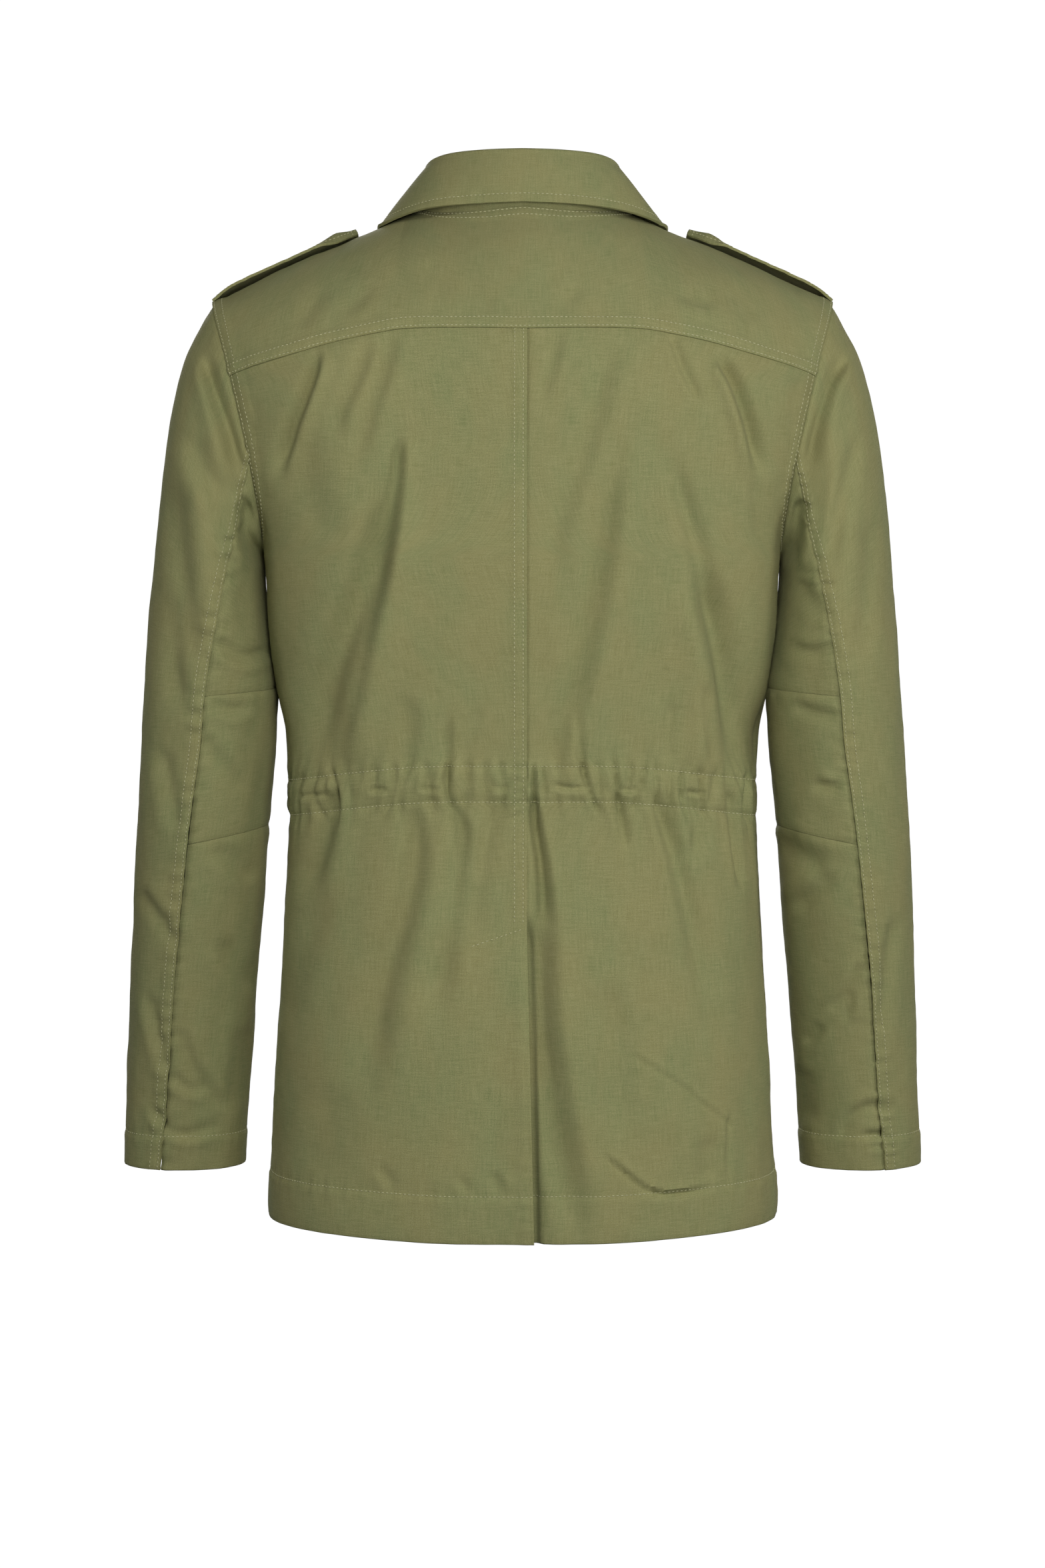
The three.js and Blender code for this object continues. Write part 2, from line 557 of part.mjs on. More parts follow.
function backPanel(side) {
  const waistLength = sectionCurve(BACK, WAIST.z).getLength();
  const start = side * CENTRE_SEAM_X + SEAM_GAP / 2;
  const places = columnPlaces(start, waistLength, gathersOnSide(BACK_GATHERS, side));
  const shares = places.map((place) => (place - start) / (waistLength - start));
  const underlapShares = side < 0 ? [-1, -0.6, -0.3] : [];
  const columns = [...underlapShares, ...shares];

  const distanceAt = (share, z) => {
    const edge = side * centreEdgeX(side, z) + SEAM_GAP / 2;
    if (share < 0) return edge + share * UNDERLAP.width;
    return lerp(edge, sectionCurve(BACK, z).getLength() - SEAM_GAP / 2, share);
  };
  const upperRow = (rise) => columns.map((column) => {
    const chest = lowerPoint(BACK, side * distanceAt(Math.max(column, 0), CHEST_Z), CHEST_Z);
    const share = chest.x / armholeX(CHEST_Z);
    const seam = yokeSeamAngle(share, -SEAM_GAP / 2);
    const point = upperPoint(share, seam * rise);
    const toArmhole = (1 - Math.abs(share)) * ARMHOLE.topX;
    const toSeam = 0.5 * (yokeSeamZ(point.x) - point.z);
    const raise = relief(BACK, WAIST.z, point, Math.min(toArmhole, toSeam + 2));
    return layer(point, torsoNormal(point), raise);
  });
  const lowerRow = (row) => columns.map((column) => {
    const atWaist = Math.max(column, 0) * (waistLength - start) + start;
    const z = row.z - row.follow * waistDrop(atWaist);
    const distance = distanceAt(column, z);
    const point = lowerPoint(BACK, side * distance, z);
    const toEdge = sectionCurve(BACK, z).getLength() - distance;
    const raise = relief(BACK, side * atWaist, point, toEdge) - underlapSink(side, point.x, z);
    return layer(point, torsoNormal(point), raise);
  });
  const grid = [...BACK_UPPER_ROWS.map(upperRow), ...PANEL_ROWS.map(lowerRow)];
  const ventRow = BACK_UPPER_ROWS.length + PANEL_ROWS.findIndex((row) => row.z === VENT_Z);
  return wall(grid, (row, column) => column >= underlapShares.length || row >= ventRow);
}

// Neckline, by the angle round it from the centre back
function necklinePlace(angle, grow = 0) {
  const cosine = Math.cos(angle);
  const depth = cosine >= 0 ? NECK.back : NECK.front;
  return upperPlace((NECK.side + grow) * Math.sin(angle), (depth + grow) * cosine);
}

// Where the forward shoulder seam meets the neckline, and the columns that the yoke and
// each front have along the neckline. The collar has a column at each of them.
const SEAM_NECK_ANGLE = Math.acos(FORWARD_SEAM_Y / NECK.front);
const YOKE_NECK_STEPS = 8;
const FRONT_NECK_PLACES = [0, 17, 36, 45, 54, 62, 71, 80];
const FRONT_NECK_TURN = degToRad(11.2);
const SEAM_TURN = 0.003; // half the seam's gap, as an angle round the neckline
const YOKE_NECK_SHARE = 0.42; // part of the yoke's width that ends at the neckline

function yoke() {
  const shoulderColumns = 9;
  const shares = [];
  for (let i = -YOKE_NECK_STEPS; i <= YOKE_NECK_STEPS; i += 1) {
    shares.push(YOKE_NECK_SHARE * i / YOKE_NECK_STEPS);
  }
  for (let i = 1; i <= shoulderColumns; i += 1) {
    const share = lerp(YOKE_NECK_SHARE, 1, i / shoulderColumns);
    shares.push(share);
    shares.unshift(-share);
  }
  const seamY = FORWARD_SEAM_Y + SEAM_GAP / 2;
  const cornerAngle = SEAM_NECK_ANGLE - SEAM_TURN;
  const corner = necklinePlace(cornerAngle);
  const rows = 6;
  const grid = [];
  for (let row = 0; row <= rows; row += 1) {
    grid.push(shares.map((share) => {
      const size = Math.min(Math.abs(share), 0.999);
      const side = Math.sign(share);
      let top;
      if (size <= YOKE_NECK_SHARE + 1e-9) {
        top = necklinePlace(Math.min(size / YOKE_NECK_SHARE, 1) * cornerAngle);
      } else {
        const along = (size - YOKE_NECK_SHARE) / (1 - YOKE_NECK_SHARE);
        const topShare = lerp(corner.share, 1, along);
        top = { share: topShare, angle: Math.acos(seamY / chestDepth(FRONT_FACE, topShare)) };
      }
      const down = row / rows;
      const angle = lerp(top.angle, yokeSeamAngle(size, SEAM_GAP / 2), down);
      const point = upperPoint(side * lerp(top.share, size, down), angle);
      return layer(point, torsoNormal(point), 0);
    }));
  }
  return wall(grid);
}

// Front panels. The wearer's left laps over the right.
function frontSink(side, x) {
  if (side > 0) return 0;
  return FRONT.sink * (1 - smoothstep(side * x, FRONT.rampFrom, FRONT.rampTo));
}

function frontPanel(side) {
  const past = side > 0 ? FRONT.leftPast : FRONT.rightPast;
  const waistLength = sectionCurve(FRONT_FACE, WAIST.z).getLength();
  const corner = FRONT_NECK_PLACES.length;
  const neckEnd = FRONT_NECK_PLACES[corner - 1];
  const gathers = gathersOnSide(FRONT_GATHERS, side).filter((at) => at > neckEnd);
  const rest = columnPlaces(neckEnd, waistLength, gathers).slice(1);
  const places = [-past, ...FRONT_NECK_PLACES, ...rest];
  const shares = places.map((place) => (place + past) / (waistLength + past));
  const seamY = FORWARD_SEAM_Y - SEAM_GAP / 2;
  const cornerAngle = SEAM_NECK_ANGLE + SEAM_TURN;
  const cornerPlace = necklinePlace(cornerAngle);

  const topPlace = (column) => {
    if (column === 0) return necklinePlace(Math.PI + Math.asin(past / NECK.side));
    if (column <= corner) {
      return necklinePlace(cornerAngle + (corner - column) * FRONT_NECK_TURN);
    }
    const along = (shares[column] - shares[corner]) / (1 - shares[corner]);
    const topShare = lerp(cornerPlace.share, 0.999, along);
    return { share: topShare, angle: Math.acos(seamY / chestDepth(FRONT_FACE, topShare)) };
  };
  const distanceAt = (share, z) => {
    const length = sectionCurve(FRONT_FACE, z).getLength();
    return lerp(-past, length - SEAM_GAP / 2, share);
  };
  const upperRow = (down) => shares.map((panelShare, column) => {
    const chest = lowerPoint(FRONT_FACE, distanceAt(panelShare, CHEST_Z), CHEST_Z);
    const top = topPlace(column);
    const share = lerp(top.share, chest.x / armholeX(CHEST_Z), down);
    const point = upperPoint(side * share, lerp(top.angle, Math.PI, down));
    const toEdge = (1 - Math.abs(share)) * ARMHOLE.topX;
    const raise = relief(FRONT_FACE, 0, point, toEdge) - frontSink(side, point.x);
    return layer(point, torsoNormal(point), raise);
  });
  const lowerRow = (row) => shares.map((column) => {
    const atWaist = column * (waistLength + past) - past;
    const z = row.z - row.follow * waistDrop(atWaist);
    const distance = distanceAt(column, z);
    const point = lowerPoint(FRONT_FACE, side * distance, z);
    const toEdge = sectionCurve(FRONT_FACE, z).getLength() - distance;
    const raise = relief(FRONT_FACE, side * atWaist, point, toEdge) - frontSink(side, point.x);
    return layer(point, torsoNormal(point), raise);
  });
  return wall([...FRONT_UPPER_ROWS.map(upperRow), ...PANEL_ROWS.map(lowerRow)]);
}

// Point on the upper face of the placket, lifted off the front by lift
function placketLayer(x, z, lift) {
  const point = new THREE.Vector3(x, torsoY(FRONT_FACE, x, z), z);
  const raise = relief(FRONT_FACE, x, point, CHEST.front);
  return layer(point, torsoNormal(point), raise + lift);
}

const PLACKET_LIFT = LAYER_GAP + CLOTH;

function placket() {
  const heights = [PLACKET.topZ, -110, -136, ...PANEL_ROWS.map((row) => row.z)];
  const across = [-PLACKET.half, 0, PLACKET.half];
  return wall(heights.map((z) => across.map((x) => placketLayer(x, z, PLACKET_LIFT))));
}

// Collar
function neckPoint(angle) {
  const side = Math.sign(angle) || 1;
  const place = necklinePlace(Math.abs(angle));
  return upperPoint(side * place.share, place.angle);
}

// Base of the stand, butted against the cut edge of the neckline
function standBase(angle) {
  const point = neckPoint(angle);
  const normal = torsoNormal(point);
  const tangent = neckPoint(angle + 0.01).sub(neckPoint(angle - 0.01));
  const inward = new THREE.Vector3().crossVectors(normal, tangent).normalize();
  const radial = new THREE.Vector3(point.x, point.y, 0);
  if (inward.dot(radial) > 0) inward.negate();
  return point.addScaledVector(inward, SEAM_GAP + 0.1);
}

function crestPoint(angle, crestZ) {
  const cosine = Math.cos(angle);
  const depth = cosine >= 0 ? CREST.back : CREST.front;
  return new THREE.Vector3(CREST.side * Math.sin(angle), depth * cosine, crestZ);
}

function outwardAt(angle) {
  const step = 0.01;
  const tangent = crestPoint(angle + step, 0).sub(crestPoint(angle - step, 0));
  return new THREE.Vector3(-tangent.y, tangent.x, 0).normalize();
}

function collarAngles() {
  const angles = [0];
  for (let i = 1; i <= YOKE_NECK_STEPS; i += 1) {
    angles.push(SEAM_NECK_ANGLE * i / YOKE_NECK_STEPS);
  }
  for (let i = 1; i < FRONT_NECK_PLACES.length - 1; i += 1) {
    angles.push(SEAM_NECK_ANGLE + FRONT_NECK_TURN * i);
  }
  return [...angles.slice(1).reverse().map((angle) => -angle), ...angles];
}

function collarStand() {
  const rows = [0, 0.5, 1];
  const grid = rows.map((up) => collarAngles().map((angle) => {
    const { crestZ } = readTable(COLLAR_ROWS, "angle", radToDeg(Math.abs(angle)));
    const outward = outwardAt(angle);
    const top = crestPoint(angle, crestZ - COLLAR.rise - SEAM_GAP);
    top.addScaledVector(outward, CLOTH);
    const point = standBase(angle).lerp(top, up);
    return layer(point, outward, 0);
  }));
  return wall(grid);
}

// Across the leaf: up from the stand's top seam, over the roll and down to the edge
function collarLeaf() {
  const rollTurns = [180, 120, 60, 0];
  const falls = [0.33, 0.67, 1];
  const strips = collarAngles().map((angle) => {
    const row = readTable(COLLAR_ROWS, "angle", radToDeg(Math.abs(angle)));
    const edgeAngle = degToRad(Math.sign(angle) * row.edgeAngle);
    const outward = outwardAt(angle);
    const up = new THREE.Vector3(0, 0, 1);
    const start = crestPoint(angle, row.crestZ - COLLAR.rise);
    const strip = [layer(start, outward, 0, -CLOTH)];
    const centre = crestPoint(angle, row.crestZ - COLLAR.rollRadius);
    centre.addScaledVector(outward, COLLAR.rollRadius);
    for (const turn of rollTurns) {
      const direction = outward.clone().multiplyScalar(Math.cos(degToRad(turn)));
      direction.addScaledVector(up, Math.sin(degToRad(turn)));
      strip.push(layer(centre, direction, COLLAR.rollRadius));
    }
    const rollEnd = strip[strip.length - 1].outer;
    const cosine = Math.cos(edgeAngle);
    const depth = cosine >= 0 ? NECK.back : NECK.front;
    const edge = new THREE.Vector3(
      (NECK.side + row.out) * Math.sin(edgeAngle), (depth + row.out) * cosine, row.edgeZ,
    );
    const fallDirection = edge.clone().sub(rollEnd).normalize();
    const facing = outward.clone().addScaledVector(
      fallDirection, -outward.dot(fallDirection),
    ).normalize();
    for (const fall of falls) {
      const point = rollEnd.clone().lerp(edge, fall);
      point.addScaledVector(facing, 3 * fall * (1 - fall));
      standClear(point, COLLAR.clearance);
      strip.push(layer(point, facing, 0));
    }
    return strip;
  });
  return wall(strips);
}

// Sleeves
function sleeveRelief(ring, angle) {
  let fold = 0;
  for (const row of SLEEVE_FOLDS) {
    const place = {
      fromX: row.fromAngle * DEGREE_LENGTH, fromZ: row.fromRing * RING_PITCH,
      toX: row.toAngle * DEGREE_LENGTH, toZ: row.toRing * RING_PITCH,
    };
    const away = segmentDistance(angle * DEGREE_LENGTH, ring * RING_PITCH, place);
    fold = Math.max(fold, row.depth * hollowAt(away, row.width));
  }
  return -smoothstep(ring, 0, 1.2) * fold;
}

function sleeveLayer(side, ringNumber, angle) {
  const ring = readTable(SLEEVE_RINGS, "ring", ringNumber);
  const turn = degToRad(angle);
  const half = new THREE.Vector3(ring.outX - ring.inX, 0, ring.outZ - ring.inZ).divideScalar(2);
  const centre = new THREE.Vector3(ring.outX + ring.inX, 2 * ring.y, ring.outZ + ring.inZ);
  const point = centre.divideScalar(2).addScaledVector(half, Math.cos(turn));
  point.y += ring.depth * Math.sin(turn);
  point.x += SEAM_GAP - ring.hollow * Math.sin(turn) ** 2;
  const normal = half.clone().multiplyScalar(Math.cos(turn) / half.lengthSq());
  normal.y = Math.sin(turn) / ring.depth;
  normal.normalize();
  const mirror = new THREE.Vector3(side, 1, 1);
  const wallLayer = layer(point, normal, sleeveRelief(ringNumber, angle));
  return { outer: wallLayer.outer.multiply(mirror), inner: wallLayer.inner.multiply(mirror) };
}

// A panel of the sleeve between two rings, over the outside or under the arm
function sleevePanel(side, rings, under, columns) {
  const seamTurn = 0.2;
  return wall(rings.map((ringNumber) => {
    const ring = readTable(SLEEVE_RINGS, "ring", ringNumber);
    const from = under ? ring.backSeam + seamTurn : ring.frontSeam - 360 + seamTurn;
    const to = under ? ring.frontSeam - seamTurn : ring.backSeam - seamTurn;
    const row = [];
    for (let i = 0; i <= columns; i += 1) {
      row.push(sleeveLayer(side, ringNumber, lerp(from, to, i / columns)));
    }
    return row;
  }));
}

function ringsBetween(from, to) {
  const middle = SLEEVE_ROWS.filter((ring) => ring > from + 0.1 && ring < to - 0.1);
  return [from, ...middle, to];
}

// Epaulettes, along the shoulder line from the armhole to the tip
function epauletteLayer(side, x, stop) {
  const row = readTable(EPAULETTE_ROWS, "x", x);
  const across = row.half * stop.share - EPAULETTE.forward;
  const ridge = upperPlace(x, 0);
  const angle = Math.PI / 2 - across / chestDepth(BACK, ridge.share);
  const point = upperPoint(side * ridge.share, angle);
  return layer(point, torsoNormal(point), row[stop.lift], EPAULETTE.thick);
}

function epaulette(side) {
  return wall(EPAULETTE_ROWS.map(({ x }) => (
    EPAULETTE_STOPS.map((stop) => epauletteLayer(side, x, stop))
  )));
}

// Buttons
function buttonGeometry(radius, thick) {
  const profile = [
    new THREE.Vector2(0, 0),
    new THREE.Vector2(radius * 0.86, 0),
    new THREE.Vector2(radius, thick * 0.4),
    new THREE.Vector2(radius * 0.9, thick),
    new THREE.Vector2(radius * 0.66, thick * 0.8),
    new THREE.Vector2(0, thick * 0.8),
  ];
  return new THREE.LatheGeometry(profile, 12);
}

function addButton(name, seat, normal, radius, thick) {
  const mesh = addPiece(name, buttonGeometry(radius, thick), COLOURS.button, 0.45);
  mesh.position.copy(seat);
  mesh.quaternion.setFromUnitVectors(new THREE.Vector3(0, 1, 0), normal);
}

// The button lies on the flat of the strap, between its low and its flat stop
function epauletteButton(side, name) {
  const [, low, flat] = EPAULETTE_STOPS;
  const outer = (reach, stop) => epauletteLayer(side, EPAULETTE.buttonX + reach, stop).outer;
  const reach = EPAULETTE.buttonReach;
  const corners = [outer(reach, low), outer(reach, flat), outer(-reach, low), outer(-reach, flat)];
  const seat = new THREE.Vector3();
  for (const corner of corners) seat.addScaledVector(corner, 1 / corners.length);
  const along = corners[0].clone().sub(corners[2]);
  const across = corners[1].clone().sub(corners[0]);
  const normal = new THREE.Vector3().crossVectors(along, across).normalize();
  if (normal.z < 0) normal.negate();
  addButton(name, seat.addScaledVector(normal, LAYER_GAP), normal, BUTTON.small, BUTTON.smallThick);
}

// The jacket's pieces
const SIDES = [
  { side: 1, name: "left" },
  { side: -1, name: "right" },
];

addPiece("yoke", yoke(), COLOURS.cloth);
addPiece("collar_stand", collarStand(), COLOURS.collar);
addPiece("collar_leaf", collarLeaf(), COLOURS.collar);
addPiece("front_placket", placket(), COLOURS.cloth);
for (const { side, name } of SIDES) {
  addPiece(`back_${name}`, backPanel(side), COLOURS.cloth);
  addPiece(`front_${name}`, frontPanel(side), COLOURS.cloth);
  const topEnd = ELBOW.top - ELBOW.gap;
  const elbowRings = ringsBetween(ELBOW.top + ELBOW.gap, ELBOW.bottom - ELBOW.gap);
  const lowStart = ELBOW.bottom + ELBOW.gap;
  addPiece(`sleeve_upper_${name}`, sleevePanel(side, SLEEVE_ROWS, false, 10), COLOURS.sleeve);
  addPiece(`sleeve_under_top_${name}`, sleevePanel(side, ringsBetween(0, topEnd), true, 8), COLOURS.sleeve);
  addPiece(`sleeve_elbow_${name}`, sleevePanel(side, elbowRings, true, 8), COLOURS.sleeve);
  addPiece(`sleeve_under_low_${name}`, sleevePanel(side, ringsBetween(lowStart, 18), true, 8), COLOURS.sleeve);
  addPiece(`epaulette_${name}`, epaulette(side), COLOURS.cloth);
  epauletteButton(side, `epaulette_button_${name}`);
}
for (let number = 0; number < BUTTON.count; number += 1) {
  const z = BUTTON.firstZ - BUTTON.pitch * number;
  const seat = placketLayer(0, z, PLACKET_LIFT).outer;
  const normal = torsoNormal(seat);
  seat.addScaledVector(normal, LAYER_GAP);
  addButton(`front_button_${number + 1}`, seat, normal, BUTTON.radius, BUTTON.thick);
}

export default jacket;
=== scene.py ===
# Safari jacket in washed cotton twill, filled out as if worn and seen from behind.
# Every cloth piece is a thin sheet on the form of the solid that it replaces, with its own
# creases, seams and stitches. Tables and forms are in millimetres in the model's frame:
# +Z up, the front faces -Y, +X is the wearer's left. MM turns a finished piece into metres.
import math

import bmesh
import bpy
import numpy as np
from mathutils import Matrix, Vector


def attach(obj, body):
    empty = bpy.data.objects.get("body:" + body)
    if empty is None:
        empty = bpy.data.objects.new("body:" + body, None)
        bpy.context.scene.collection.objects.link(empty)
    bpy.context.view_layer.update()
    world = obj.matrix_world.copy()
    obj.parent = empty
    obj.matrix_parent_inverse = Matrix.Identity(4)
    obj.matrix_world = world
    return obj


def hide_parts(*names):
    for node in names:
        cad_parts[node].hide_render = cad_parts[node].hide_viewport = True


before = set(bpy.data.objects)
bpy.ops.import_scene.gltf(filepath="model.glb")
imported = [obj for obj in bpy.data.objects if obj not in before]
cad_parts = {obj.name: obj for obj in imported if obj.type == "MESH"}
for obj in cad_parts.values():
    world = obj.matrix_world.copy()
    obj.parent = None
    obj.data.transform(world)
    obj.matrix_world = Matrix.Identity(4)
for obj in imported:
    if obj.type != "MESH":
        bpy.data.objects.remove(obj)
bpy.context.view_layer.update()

MM = 0.001
ROOT = "root"
BACK = 1
FRONT = -1

# Form of the jacket
ARMHOLE = {"top_x": 231, "top_z": -69, "bottom_x": 190, "bottom_z": -255, "depth": 72, "hollow": 6}
SHOULDER = {"top": 29.05, "fall": 97.9, "round": 0.069}
CHEST = {BACK: 118, FRONT: 112, "square": 3.3}
NECK = {"side": 80, BACK: 60, FRONT: 100}
CREST = {"side": 67, BACK: 53, FRONT: 90}
FORWARD_SEAM_Y = -20
WAIST_Z = -423
WAIST_DROP = 15
HEM_Z = -755
HEM_STITCH_Z = -721
VENT_Z = -526
CENTRE_SEAM_X = -3.1
VENT_HEM_X = -8.4
UNDERLAP = 41
PLACKET_HALF = 16.6
PLACKET_TOP_Z = -84
FRONT_PAST = {1: 17, -1: 14}
CHEST_Z = (ARMHOLE["top_z"] + ARMHOLE["bottom_z"]) / 2
ARMHOLE_HALF = (ARMHOLE["top_z"] - ARMHOLE["bottom_z"]) / 2

# Cloth and sewing
CLOTH = 1.1
LEAF = 2.2
EDGE_ROUND = 0.4
TOPSTITCH = (1.7, 8.2)
CENTRE_TOPSTITCH = (2.7, 9.0)
SEAM_STOPS = (0.8, 1.7, 2.6, 4.6, 6.8, 8.2, 9.6, 11.6)  # mesh columns beside a stitched seam
CUFF_TURN = 24.6
DOWN = np.array([0.0, 0.0, -1.0])
TUNNEL_TOP = 13
TUNNEL_BOTTOM = -12.3
STITCH = {"pitch": 3.3, "half_length": 1.25, "half_width": 0.36, "half_height": 0.34}
STITCHED_EDGE = (0.9, *SEAM_STOPS[1:])
RELIEF = 2.5  # strength of the creases in the tables below

# Height, half width at the side seam, depth behind and before the centre line, squareness
BODY = [
    (-162, 205, 118, 112, 3.3), (-255, 190, 118, 112, 3.3), (-309, 187, 115.5, 110, 3.1),
    (-355, 181.5, 112, 108, 2.9), (-386, 178, 110, 107, 2.75), (-430, 175.6, 108.5, 106.5, 2.6),
    (-453, 175.8, 109, 107, 2.55), (-500, 178.5, 113, 109.5, 2.5), (-550, 181.5, 117.5, 112.5, 2.45),
    (-600, 184.5, 122, 116, 2.45), (-650, 187.5, 125.5, 119, 2.45), (-700, 190, 128.5, 121.5, 2.45),
    (-735, 192.5, 130, 123, 2.45), (-755, 192.5, 130.5, 123, 2.45),
]

# The yoke's seam across the back: distance from the centre and height
YOKE_SEAM = [
    (0, -92.5), (40, -91.8), (86, -92.6), (111, -96.6), (137, -102.1),
    (162, -109), (188, -116.2), (202, -120.5), (218, -127),
]

# How much of the waist's drop towards the sides a height takes
FOLLOW = [(-162, 0), (-310, 0), (-365, 0.4), (-402, 1), (-447, 1), (-480, 0.5), (-526, 0), (-755, 0)]

# Sleeve rings from the armhole to the cuff: ring, the outer end and the inner end seen from
# behind, half depth, its centre's y, hollow, and the angles of the back and front seams
SLEEVE_RINGS = [
    (0, 231, -69, 190, -255, 72, 0, 6, 106, 236), (1, 239.4, -86, 191, -259, 73.5, 0, 4, 111, 235),
    (2, 250.7, -108, 192, -264, 75, 0, 2, 116.5, 235), (3, 259.2, -138, 192, -271, 75.5, 0, 0, 118, 234),
    (4, 266, -175, 191.6, -281, 75, 1, 0, 115, 233), (5, 271, -213, 191, -295, 74, 2, 0, 110.5, 232),
    (6, 275.5, -256, 190, -312, 72, 3, 0, 105, 231), (7, 280, -309, 188, -333, 69, 4, 0, 98.5, 230),
    (8, 284, -364, 185, -356, 65, 4.5, 0, 92, 229), (9, 286.4, -400, 184, -390, 62, 4, 0, 89, 228),
    (10, 289.4, -440, 187.2, -424, 60, 2, 0, 86, 227), (11, 291.5, -479, 190.5, -459, 58, -1, 0, 83, 226),
    (12, 293.5, -515, 194.3, -507, 56, -5, 0, 80.5, 225),
    (13, 295.5, -552, 198.1, -550, 54, -10, 0, 78.5, 224),
    (14, 297.7, -592, 201.7, -592, 52, -15, 0, 77, 223),
    (15, 299.6, -632, 204.8, -632, 50.5, -19, 0, 76, 222),
    (16, 301.1, -670, 207.5, -670, 49, -22.5, 0, 74.5, 221),
    (17, 301.9, -692.4, 209, -692.4, 48, -24, 0, 72, 221),
    (18, 302.5, -717, 210.6, -717, 47, -26, 0, 70, 220),
]
ELBOW_RINGS = (8, 11)
CUFF_RING = 17
LAST_RING = 18
RING_PITCH = 38

# Collar by angle round the neck: angle, height of the roll, and the leaf edge's angle,
# distance out from the neckline and height
COLLAR_ROWS = [
    (0, 40.2, 0, 7.5, 0.7), (26, 39.6, 26, 10, -0.6), (52, 38.1, 52, 17, -4),
    (73, 34.9, 73, 23.5, -9.5), (90, 30, 90, 26.5, -14), (110, 19, 108, 29.2, -29),
    (130, 0, 124, 30, -58), (150, -24, 139, 29, -92), (168, -47, 153, 28, -121),
]
COLLAR = {"roll": 3, "rise": 9, "clearance": 3.2, "gap": 0.5}

# Epaulette: place along the shoulder, half width, and heights of its upper face over the yoke
# at the stops across it, from the front edge to the rear one
EPAULETTE = {"forward": 14, "thick": 1.9, "button_x": 130, "button_reach": 5}
EPAULETTE_STOPS = (-1, -0.35, 0.32, 0.62, 1)
EPAULETTE_ROWS = [
    (-230, 25, 2.6, 2.6, 2.6, 2.6, 2.6), (-228, 25, 2.8, 2.9, 3, 3.1, 3.2),
    (-225, 25, 3, 3.5, 3.9, 4, 4.1), (-217, 25, 3.1, 4.3, 5.4, 5.8, 6.2),
    (-207, 25, 3.2, 4.6, 5.8, 6.3, 6.8), (-190, 25, 3.2, 4.6, 5.8, 6.4, 6.9),
    (-172, 25, 3.2, 4.6, 5.8, 6.3, 6.8), (-157, 25, 3.2, 4.6, 5.8, 6.6, 7),
    (-148, 25, 3.2, 4.8, 6.2, 7.8, 6.8), (-140, 25, 3.2, 5.2, 6.2, 9.4, 4.4),
    (-135, 24, 3.2, 5.2, 6.2, 9.9, 3.4), (-128, 18, 3.1, 4.4, 5.6, 8.4, 3.2),
    (-121.5, 12, 3, 3.8, 5, 7.6, 3),
]

BUTTON = {
    "radius": 9, "thick": 3.2, "small": 7.5, "small_thick": 2.6, "first_z": -100, "pitch": 95, "count": 6,
}

# Gathers of the drawstring tunnel, placed from the photograph on the back and made
# up on the front: x, depth, width, lean, bow, and how far it runs above and below the tunnel
BACK_GATHERS = [
    (166, 1.0, 3, -1, 0, 6, 8), (152, 1.5, 2.3, 1, -1.6, 10, 14), (137, 2.2, 2, 1.6, 1, 12, 10),
    (126, 1.0, 3, 1, 0, 8, 8), (107, 1.2, 3, 0, 1, 8, 14), (94, 1.8, 2.6, -2, 2, 10, 10),
    (87, 1.6, 2.2, -3, -1.5, 8, 12), (68, 1.6, 2.8, 2, 0, 14, 26), (54, 2.4, 2.6, 1, -1.2, 26, 14),
    (40, 1.2, 3, -1, 1, 10, 8), (27, 1.2, 3, 1, 0, 8, 12), (14.5, 1.6, 2.4, 0.6, 1, 10, 12),
    (-8.6, 3, 1.8, 0.4, -0.6, 6, 14), (-15, 1.4, 1.8, 0.6, 1, 5, 6), (-26, 1.3, 2.6, 0, 0, 14, 6),
    (-47.5, 2.6, 2.4, 4, -0.8, 22, 8), (-55, 1.2, 2.4, 1, 1, 6, 6), (-68.5, 2, 2, 1.6, 0, 12, 10),
    (-76, 1.3, 2.2, -2.5, 0, 6, 22), (-85, 1.8, 2.2, -4, 0.5, 12, 10), (-97, 1.4, 2, 0, 0, 8, 8),
    (-107, 1.4, 2.6, -2, 0, 6, 30), (-115.5, 2.3, 2, 0.5, -2, 14, 16), (-130, 2.5, 1.9, 1.6, -0.8, 8, 14),
    (-137, 1.3, 2.6, -3.5, 0, 5, 26), (-149, 1.2, 3, 0, 0, 12, 10), (-165, 3, 1.9, -0.8, -2.4, 10, 18),
]
FRONT_GATHERS = [
    (165, 2.6, 2.2, 1, 2, 14, 20), (148, 1.8, 2.8, -1, 0, 20, 12), (133, 2.6, 2.1, 1.5, -2, 12, 30),
    (120, 1.5, 2.8, 0, 1, 10, 12), (104, 2.3, 2.2, -2, 0, 26, 14), (91, 1.4, 2.6, 1, 0, 8, 16),
    (77, 2.4, 2.1, 2, 1.6, 14, 20), (62, 1.6, 2.6, 0, -1, 18, 10), (47, 2.2, 2.2, -1.6, 0, 12, 22),
    (32, 1.5, 2.4, 1, 0, 10, 10), (-31, 1.7, 2.4, -1, 0, 12, 14), (-46, 2.3, 2.2, 1.6, -1.4, 16, 10),
    (-60, 1.5, 2.6, 0, 0, 8, 20), (-74, 2.5, 2.1, -2, 1, 24, 14), (-88, 1.5, 2.6, 1, 0, 10, 10),
    (-103, 2.3, 2.2, 2, 0, 12, 26), (-118, 1.6, 2.8, -1, 1, 20, 10), (-134, 2.6, 2.1, 0, -2, 10, 18),
    (-149, 1.5, 3, 1, 0, 12, 12), (-164, 2.6, 2.2, -1, 1.8, 14, 22),
]
